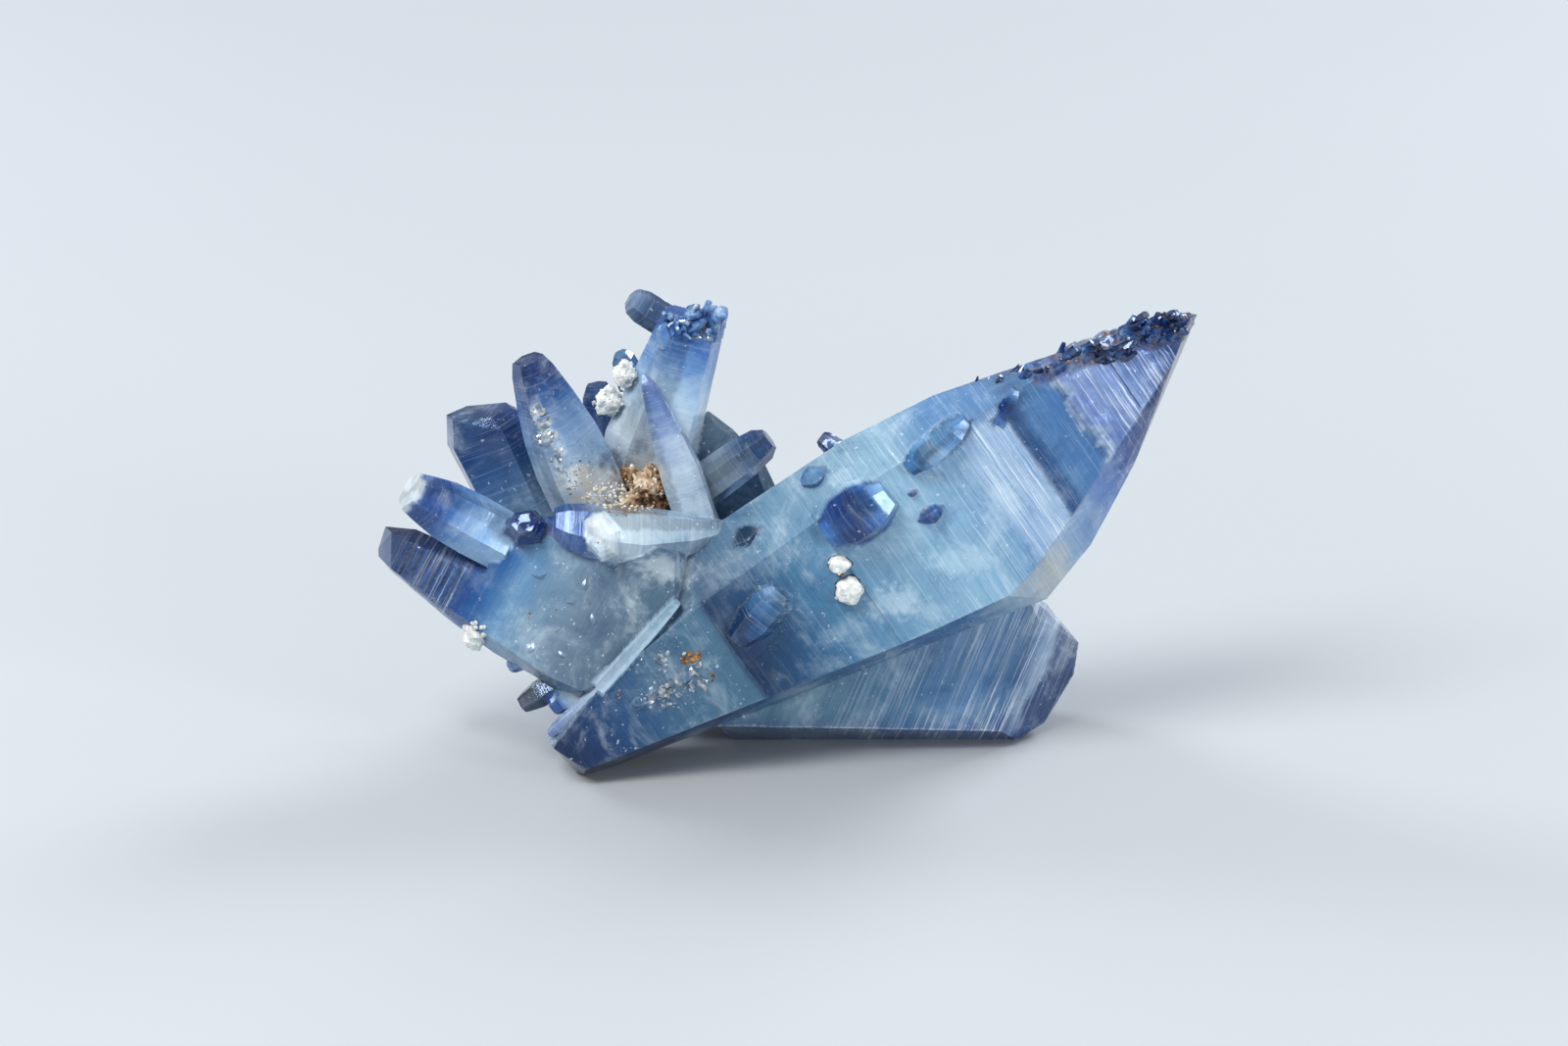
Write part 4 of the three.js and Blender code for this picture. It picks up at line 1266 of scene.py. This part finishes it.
@dataclass
class Scatter:
    """Many tiny grains, flakes or crystals seated on what carries them."""

    name: str
    slot: str
    finish: bpy.types.Material
    seats: Seats
    seed: int
    shape: Shape = Shape.GRAIN
    lean: float = 0.45
    pull: Vector = field(default_factory=Vector)
    widths: ClassVar[tuple[float, float]] = (0.7, 1.3)
    crystal_heights: ClassVar[tuple[float, float]] = (1.2, 2.0)
    crystal_tops: ClassVar[tuple[float, float]] = (0.1, 0.32)
    grain_heights: ClassVar[tuple[float, float]] = (0.7, 1.1)
    flake_thin: ClassVar[float] = 0.3
    raised: ClassVar[float] = 0.2
    grain_lumps: ClassVar[float] = 0.09
    flake_lumps: ClassVar[float] = 0.03

    def build(self) -> bpy.types.Object:
        """Builds the piece: one small closed shape for each seat.

        Returns:
            The piece.
        """
        draw = random.Random(self.seed)
        bm = bmesh.new()
        for seat, size in self.seats:
            self._one(bm, seat, size * MM, draw)
        low, high = CAD_BOX
        for vert in bm.verts:
            vert.co = Vector(min(max(c, a), b) for c, a, b in zip(vert.co, low, high))
        piece = Mesher.shown(bm, self.name, self.finish, smooth=False)
        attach(piece, "root")
        return piece

    def _one(self, bm: bmesh.types.BMesh, seat: Seat, size: float, draw: random.Random) -> None:
        """Adds one tiny shape.

        Args:
            bm: The mesh to add to.
            seat: Where it sits.
            size: Its width in metres.
            draw: Where chance comes from.
        """
        lean = self._any_way(draw) * self.lean + self.pull
        turn = (seat.facing + lean).normalized().to_track_quat("Z", "Y").to_matrix().to_4x4()
        spin = Matrix.Rotation(draw.uniform(0, math.tau), 4, "Z")
        wide, deep = draw.uniform(*self.widths), draw.uniform(*self.widths)
        place = Matrix.Translation(seat.place) @ turn @ spin
        if self.shape is Shape.CRYSTAL:
            tall = size * draw.uniform(*self.crystal_heights)
            top = size * draw.uniform(*self.crystal_tops)
            fit = place @ Matrix.Translation((0, 0, tall * self.raised)) @ Matrix.Diagonal((wide, deep, 1, 1))
            bmesh.ops.create_cone(
                bm, cap_ends=True, cap_tris=True, segments=6, radius1=size / 2, radius2=top, depth=tall,
                matrix=fit,
            )
            return
        thin = self.flake_thin if self.shape is Shape.FLAKE else draw.uniform(*self.grain_heights)
        fit = place @ Matrix.Diagonal((wide, deep, thin, 1))
        made = bmesh.ops.create_icosphere(bm, subdivisions=1, radius=size / 2, matrix=fit)
        lumpy = self.flake_lumps if self.shape is Shape.FLAKE else self.grain_lumps
        for vert in made["verts"]:
            vert.co += self._any_way(draw) * size * lumpy

    @staticmethod
    def _any_way(draw: random.Random) -> Vector:
        """Draws an offset that is between -1 and 1 along each axis."""
        return Vector((draw.uniform(-1, 1), draw.uniform(-1, 1), draw.uniform(-1, 1)))


def over_faces(piece: bpy.types.Object, count: int, sizes: tuple[float, float], seed: int) -> Seats:
    """Picks seats all over a piece.

    Args:
        piece: What carries the seats.
        count: How many there are.
        sizes: The smallest and the largest piece, in millimetres.
        seed: What makes the choice the same on every run.

    Returns:
        Seats with a size for each.
    """
    draw = random.Random(seed)
    faces = piece.data.polygons
    chosen = [faces[draw.randrange(len(faces))] for _ in range(count)]
    return [(Seat(face.center.copy(), face.normal.copy()), draw.uniform(*sizes)) for face in chosen]


@dataclass(frozen=True)
class Patch:
    """A patch that shows from the front, with small pieces scattered over it, in design millimetres."""

    x: float
    seen: float
    wide: float
    tall: float
    count: int
    small: float
    large: float
    seed: int

    def seats(self, skin: Skin) -> Seats:
        """Finds a seat and a size for each piece that meets the surface.

        Args:
            skin: The surface that carries them.

        Returns:
            The seats, which are the same on every run.
        """
        draw = random.Random(self.seed)
        found = []
        for _ in range(self.count):
            turn = draw.uniform(0, math.tau)
            away = math.sqrt(draw.random())
            x = self.x + self.wide * away * math.cos(turn)
            seen = self.seen + self.tall * away * math.sin(turn)
            seat = skin.seen_at(x, seen)
            size = draw.uniform(self.small, self.large)
            if seat is not None:
                found.append((seat, size))
        return found


def scattered(skin: Skin, patches: Sequence[Patch]) -> Seats:
    """Finds the seats of several patches, in order."""
    return [seat for patch in patches for seat in patch.seats(skin)]


# Each patch is given as x, place up as seen, half width, half height, count, smallest, largest and seed.
HOLLOW_DRUSE = (
    Patch(-15.6, 21.4, 2.3, 1.6, 44, 0.08, 0.22, 23),
    Patch(-14.0, 20.2, 2.2, 1.0, 90, 0.1, 0.36, 27),
    Patch(-11.6, 19.8, 2.0, 0.9, 60, 0.12, 0.34, 24),
)
# In the glinting field at the spindle's foot, then on the tall crystal, then on the tower's top.
GLINTS = (
    Patch(-8.9, 5.6, 3.2, 2.6, 90, 0.08, 0.3, 4),
    Patch(-8.9, 5.4, 2.9, 2.2, 32, 0.35, 0.8, 5),
    Patch(-9.4, 4.5, 0.5, 0.5, 6, 0.6, 1.1, 33),
    Patch(-10.1, 7.2, 0.2, 0.4, 3, 0.4, 0.7, 34),
    Patch(-10.4, 3.6, 1.4, 1.0, 26, 0.1, 0.5, 8),
    Patch(-17.1, 22.3, 1.3, 2.3, 60, 0.08, 0.34, 9),
    Patch(-20.0, 26.8, 0.4, 0.9, 9, 0.3, 0.7, 11),
    Patch(-19.3, 25.3, 0.8, 1.2, 22, 0.4, 0.9, 31),
    Patch(-18.4, 23.4, 0.5, 1.3, 16, 0.25, 0.6, 32),
    Patch(-6.8, 34.1, 2.0, 1.1, 70, 0.12, 0.5, 10),
)
RUST_SPECKS = (
    Patch(-7.6, 7.0, 0.75, 0.45, 12, 0.25, 0.6, 12),
    Patch(-5.9, 5.4, 0.4, 0.5, 4, 0.15, 0.35, 13),
    Patch(4.6, 13.9, 0.3, 0.25, 6, 0.2, 0.4, 14),
    Patch(-13.5, 4.1, 0.3, 0.4, 3, 0.2, 0.3, 15),
    Patch(29.5, 33.7, 1.0, 0.35, 7, 0.3, 0.7, 16),
    Patch(24.6, 31.0, 2.0, 0.5, 5, 0.12, 0.3, 17),
    Patch(-12.5, 18.9, 2.6, 0.3, 16, 0.12, 0.26, 19),
    Patch(-18, 17, 6.5, 8, 12, 0.12, 0.24, 18),
)
BROKEN_AT_TIP = (
    Patch(24.6, 31.5, 3.4, 0.7, 30, 0.4, 0.9, 50),
    Patch(19.6, 30.1, 1.7, 0.35, 9, 0.3, 0.7, 55),
    Patch(16.2, 29.4, 1.5, 0.3, 6, 0.2, 0.5, 56),
    Patch(29.6, 33.5, 2.2, 0.8, 34, 0.5, 1.1, 51),
)
BROKEN_ON_TOWER = (
    Patch(-7.6, 34.3, 2.1, 1.0, 30, 0.4, 1.0, 52),
    Patch(-6.4, 34.0, 1.0, 0.7, 4, 1.5, 2.1, 57),
)


@dataclass
class Hollow:
    """The stained crust in the hollow of the fan, with the druse on it and round it."""

    crystals: int = 420
    crumbs: int = 240

    def build(self, skin: Skin) -> list[bpy.types.Object]:
        """Builds the crust and both kinds of druse.

        Args:
            skin: The surface that carries them.

        Returns:
            The crust and the two scatters on it.
        """
        brown, cream = STAINED_CRUST.material(), CREAM_DRUSE.material()
        crust = Lump("crust_in_hollow", "crust", brown, 0.3, 0.3, 1.1).build()
        on_crust = over_faces(crust, self.crystals, (0.2, 0.5), 21)
        round_it = scattered(skin, HOLLOW_DRUSE) + over_faces(crust, self.crumbs, (0.2, 0.46), 25)
        return [
            crust,
            Scatter("druse_on_crust", "crust", brown, on_crust, 22, Shape.CRYSTAL).build(),
            Scatter("druse_round_hollow", "crust", cream, round_it, 26).build(),
        ]


@dataclass
class WhiteGrains:
    """Two smooth white grains on the big face, three sugary ones elsewhere, and their sugar."""

    smooth: tuple[str, ...] = ("on_face_upper", "on_face_lower")
    sugary: tuple[tuple[str, Patch], ...] = (
        ("at_left", Patch(-25.2, 9.0, 1.1, 1.1, 40, 0.2, 0.5, 42)),
        ("by_tower_upper", Patch(-13.0, 30.1, 1.1, 1.1, 40, 0.2, 0.5, 43)),
        ("by_tower_lower", Patch(-14.3, 27.9, 1.3, 1.3, 40, 0.2, 0.5, 44)),
    )
    sugar_sizes: tuple[float, float] = (0.16, 0.42)
    swell: float = 0.2
    first_seed: int = 30

    def build(self, skin: Skin) -> list[bpy.types.Object]:
        """Builds the five grains and one piece for all their sugar.

        Args:
            skin: The surface that carries them.

        Returns:
            The six pieces.
        """
        white = WHITE_MINERAL.material()
        grains, sugar = [], []
        for node in self.smooth:
            grain = self._grain(node, white, 0.06, True)
            sugar += over_faces(grain, 8, self.sugar_sizes, self.first_seed + len(grains))
            grains.append(grain)
        for node, around in self.sugary:
            grain = self._grain(node, white, 0.12, False)
            sugar += over_faces(grain, 46, self.sugar_sizes, self.first_seed + len(grains))
            sugar += around.seats(skin)
            grains.append(grain)
        return [*grains, Scatter("sugar_on_white_grains", "white_grain", white, sugar, 36).build()]

    def _grain(self, node: str, white: bpy.types.Material, rough: float, smooth: bool) -> bpy.types.Object:
        """Builds one grain."""
        name = f"white_grain_{node}"
        return Lump(name, "white_grain", white, rough=rough, swell=self.swell, smooth=smooth).build()


@dataclass
class SmallPieces:
    """Glinting flakes, rust specks and the broken crystals of the worn ends."""

    along_tip: Place = (1.3, -0.3, 0.9)
    above_tower: Place = (0.3, -0.2, 0.6)

    def build(self, skin: Skin) -> list[bpy.types.Object]:
        """Builds the four scatters.

        Args:
            skin: The surface that carries them.

        Returns:
            The four pieces.
        """
        flakes, stain = BRIGHT_FLAKE.material(), IRON_STAIN.material()
        navy, blue = ETCHED_NAVY.material(), ETCHED_BLUE.material()
        glints, rust = scattered(skin, GLINTS), scattered(skin, RUST_SPECKS)
        at_tip, on_tower = scattered(skin, BROKEN_AT_TIP), scattered(skin, BROKEN_ON_TOWER)
        along, above = Vector(self.along_tip), Vector(self.above_tower)
        crystal = Shape.CRYSTAL
        return [
            Scatter("bright_flakes", "sapphire", flakes, glints, 4, Shape.FLAKE, 0.9).build(),
            Scatter("rust_specks", "crust", stain, rust, 6).build(),
            Scatter("broken_crystals_at_tip", "sapphire", navy, at_tip, 53, crystal, 0.7, along).build(),
            Scatter("broken_crystals_on_tower", "sapphire", blue, on_tower, 54, crystal, 0.7, above).build(),
        ]


# The lamps, each with its name, its place and width in metres, its power in watts and its shade.
LAMPS = (
    ("key", (-0.22, -0.26, 0.42), 0.22, 2.6, (1.0, 0.98, 0.95)),
    ("rim", (0.3, 0.3, 0.3), 0.22, 2.0, (0.92, 0.96, 1.0)),
    ("fill", (0.36, -0.3, 0.12), 0.12, 0.9, (0.95, 0.98, 1.0)),
    ("back_left", (-0.32, 0.22, 0.22), 0.16, 1.2, (0.9, 0.95, 1.0)),
)


@dataclass
class Studio:
    """Plain floor, soft lights and the camera."""

    reach: float = 3.0
    room: Colour = (0.94, 0.97, 1.0, 1.0)
    room_levels: tuple[tuple[str, float], ...] = (
        ("From Min", -0.1), ("From Max", 0.9), ("To Min", 0.1), ("To Max", 0.48),
    )
    lit_at: Place = (0, 0, 0.015)
    distance: float = 0.64
    aim: Place = (0, -1, 19.52)
    lens: float = 180

    def build(self) -> None:
        """Builds the floor, the lights and the camera."""
        self._floor()
        self._world()
        for lamp in LAMPS:
            self._light(*lamp)
        self._camera()

    def _floor(self) -> None:
        """Adds the floor."""
        bm = bmesh.new()
        bmesh.ops.create_grid(bm, x_segments=2, y_segments=2, size=self.reach)
        floor = Mesher.shown(bm, "floor", FloorFinish().material())

    def _world(self) -> None:
        """Lights everything evenly and softly, more from above than from below."""
        world = bpy.data.worlds.new("soft_room")
        world.use_nodes = True
        nodes, links = world.node_tree.nodes, world.node_tree.links
        where = nodes.new("ShaderNodeTexCoord")
        split = nodes.new("ShaderNodeSeparateXYZ")
        height = nodes.new("ShaderNodeMapRange")
        for level, value in self.room_levels:
            height.inputs[level].default_value = value
        links.new(where.outputs["Generated"], split.inputs[0])
        links.new(split.outputs["Z"], height.inputs["Value"])
        nodes["Background"].inputs["Color"].default_value = self.room
        links.new(height.outputs[0], nodes["Background"].inputs["Strength"])
        bpy.context.scene.world = world
        bpy.context.scene.view_settings.view_transform = "Standard"

    def _light(self, name: str, place: Place, size: float, power: float, shade: Place) -> None:
        """Adds one soft area light aimed at the cluster.

        Args:
            name: The light's name.
            place: Where it is, in metres.
            size: Its width in metres.
            power: Its power in watts.
            shade: Its red, green and blue.
        """
        lamp = bpy.data.lights.new(name, "AREA")
        lamp.size = size
        lamp.energy = power
        lamp.color = shade
        lit = bpy.data.objects.new(name, lamp)
        lit.location = place
        lit.rotation_euler = (Vector(self.lit_at) - Vector(place)).to_track_quat("-Z", "Y").to_euler()
        bpy.context.scene.collection.objects.link(lit)

    def _camera(self) -> None:
        """Adds the camera, a long lens 20 degrees above the horizon, as in the photograph."""
        aim = design_origin() + Vector(self.aim) * MM
        lens = bpy.data.cameras.new("front_view")
        lens.lens = self.lens
        lens.sensor_width = 36
        lens.clip_start = 0.05
        seen = bpy.data.objects.new("front_view", lens)
        seen.location = aim - self.distance * Skin.sight
        seen.rotation_euler = (math.pi / 2 - SEEN_FROM, 0, 0)
        bpy.context.scene.collection.objects.link(seen)
        bpy.context.scene.camera = seen


def main() -> None:
    """Builds every piece and the studio."""
    logging.basicConfig(level=logging.INFO, format="%(message)s")
    sapphire = SapphireCrystals(detail=Detail.FULL)
    pieces = [sapphire.build()]
    for group in (Hollow(), WhiteGrains(), SmallPieces()):
        pieces += group.build(sapphire.skin)
    for piece in pieces:
        LOG.info("%s: %d faces", piece.name, len(piece.data.polygons))
    Studio().build()


if __name__ == "__main__":
    main()
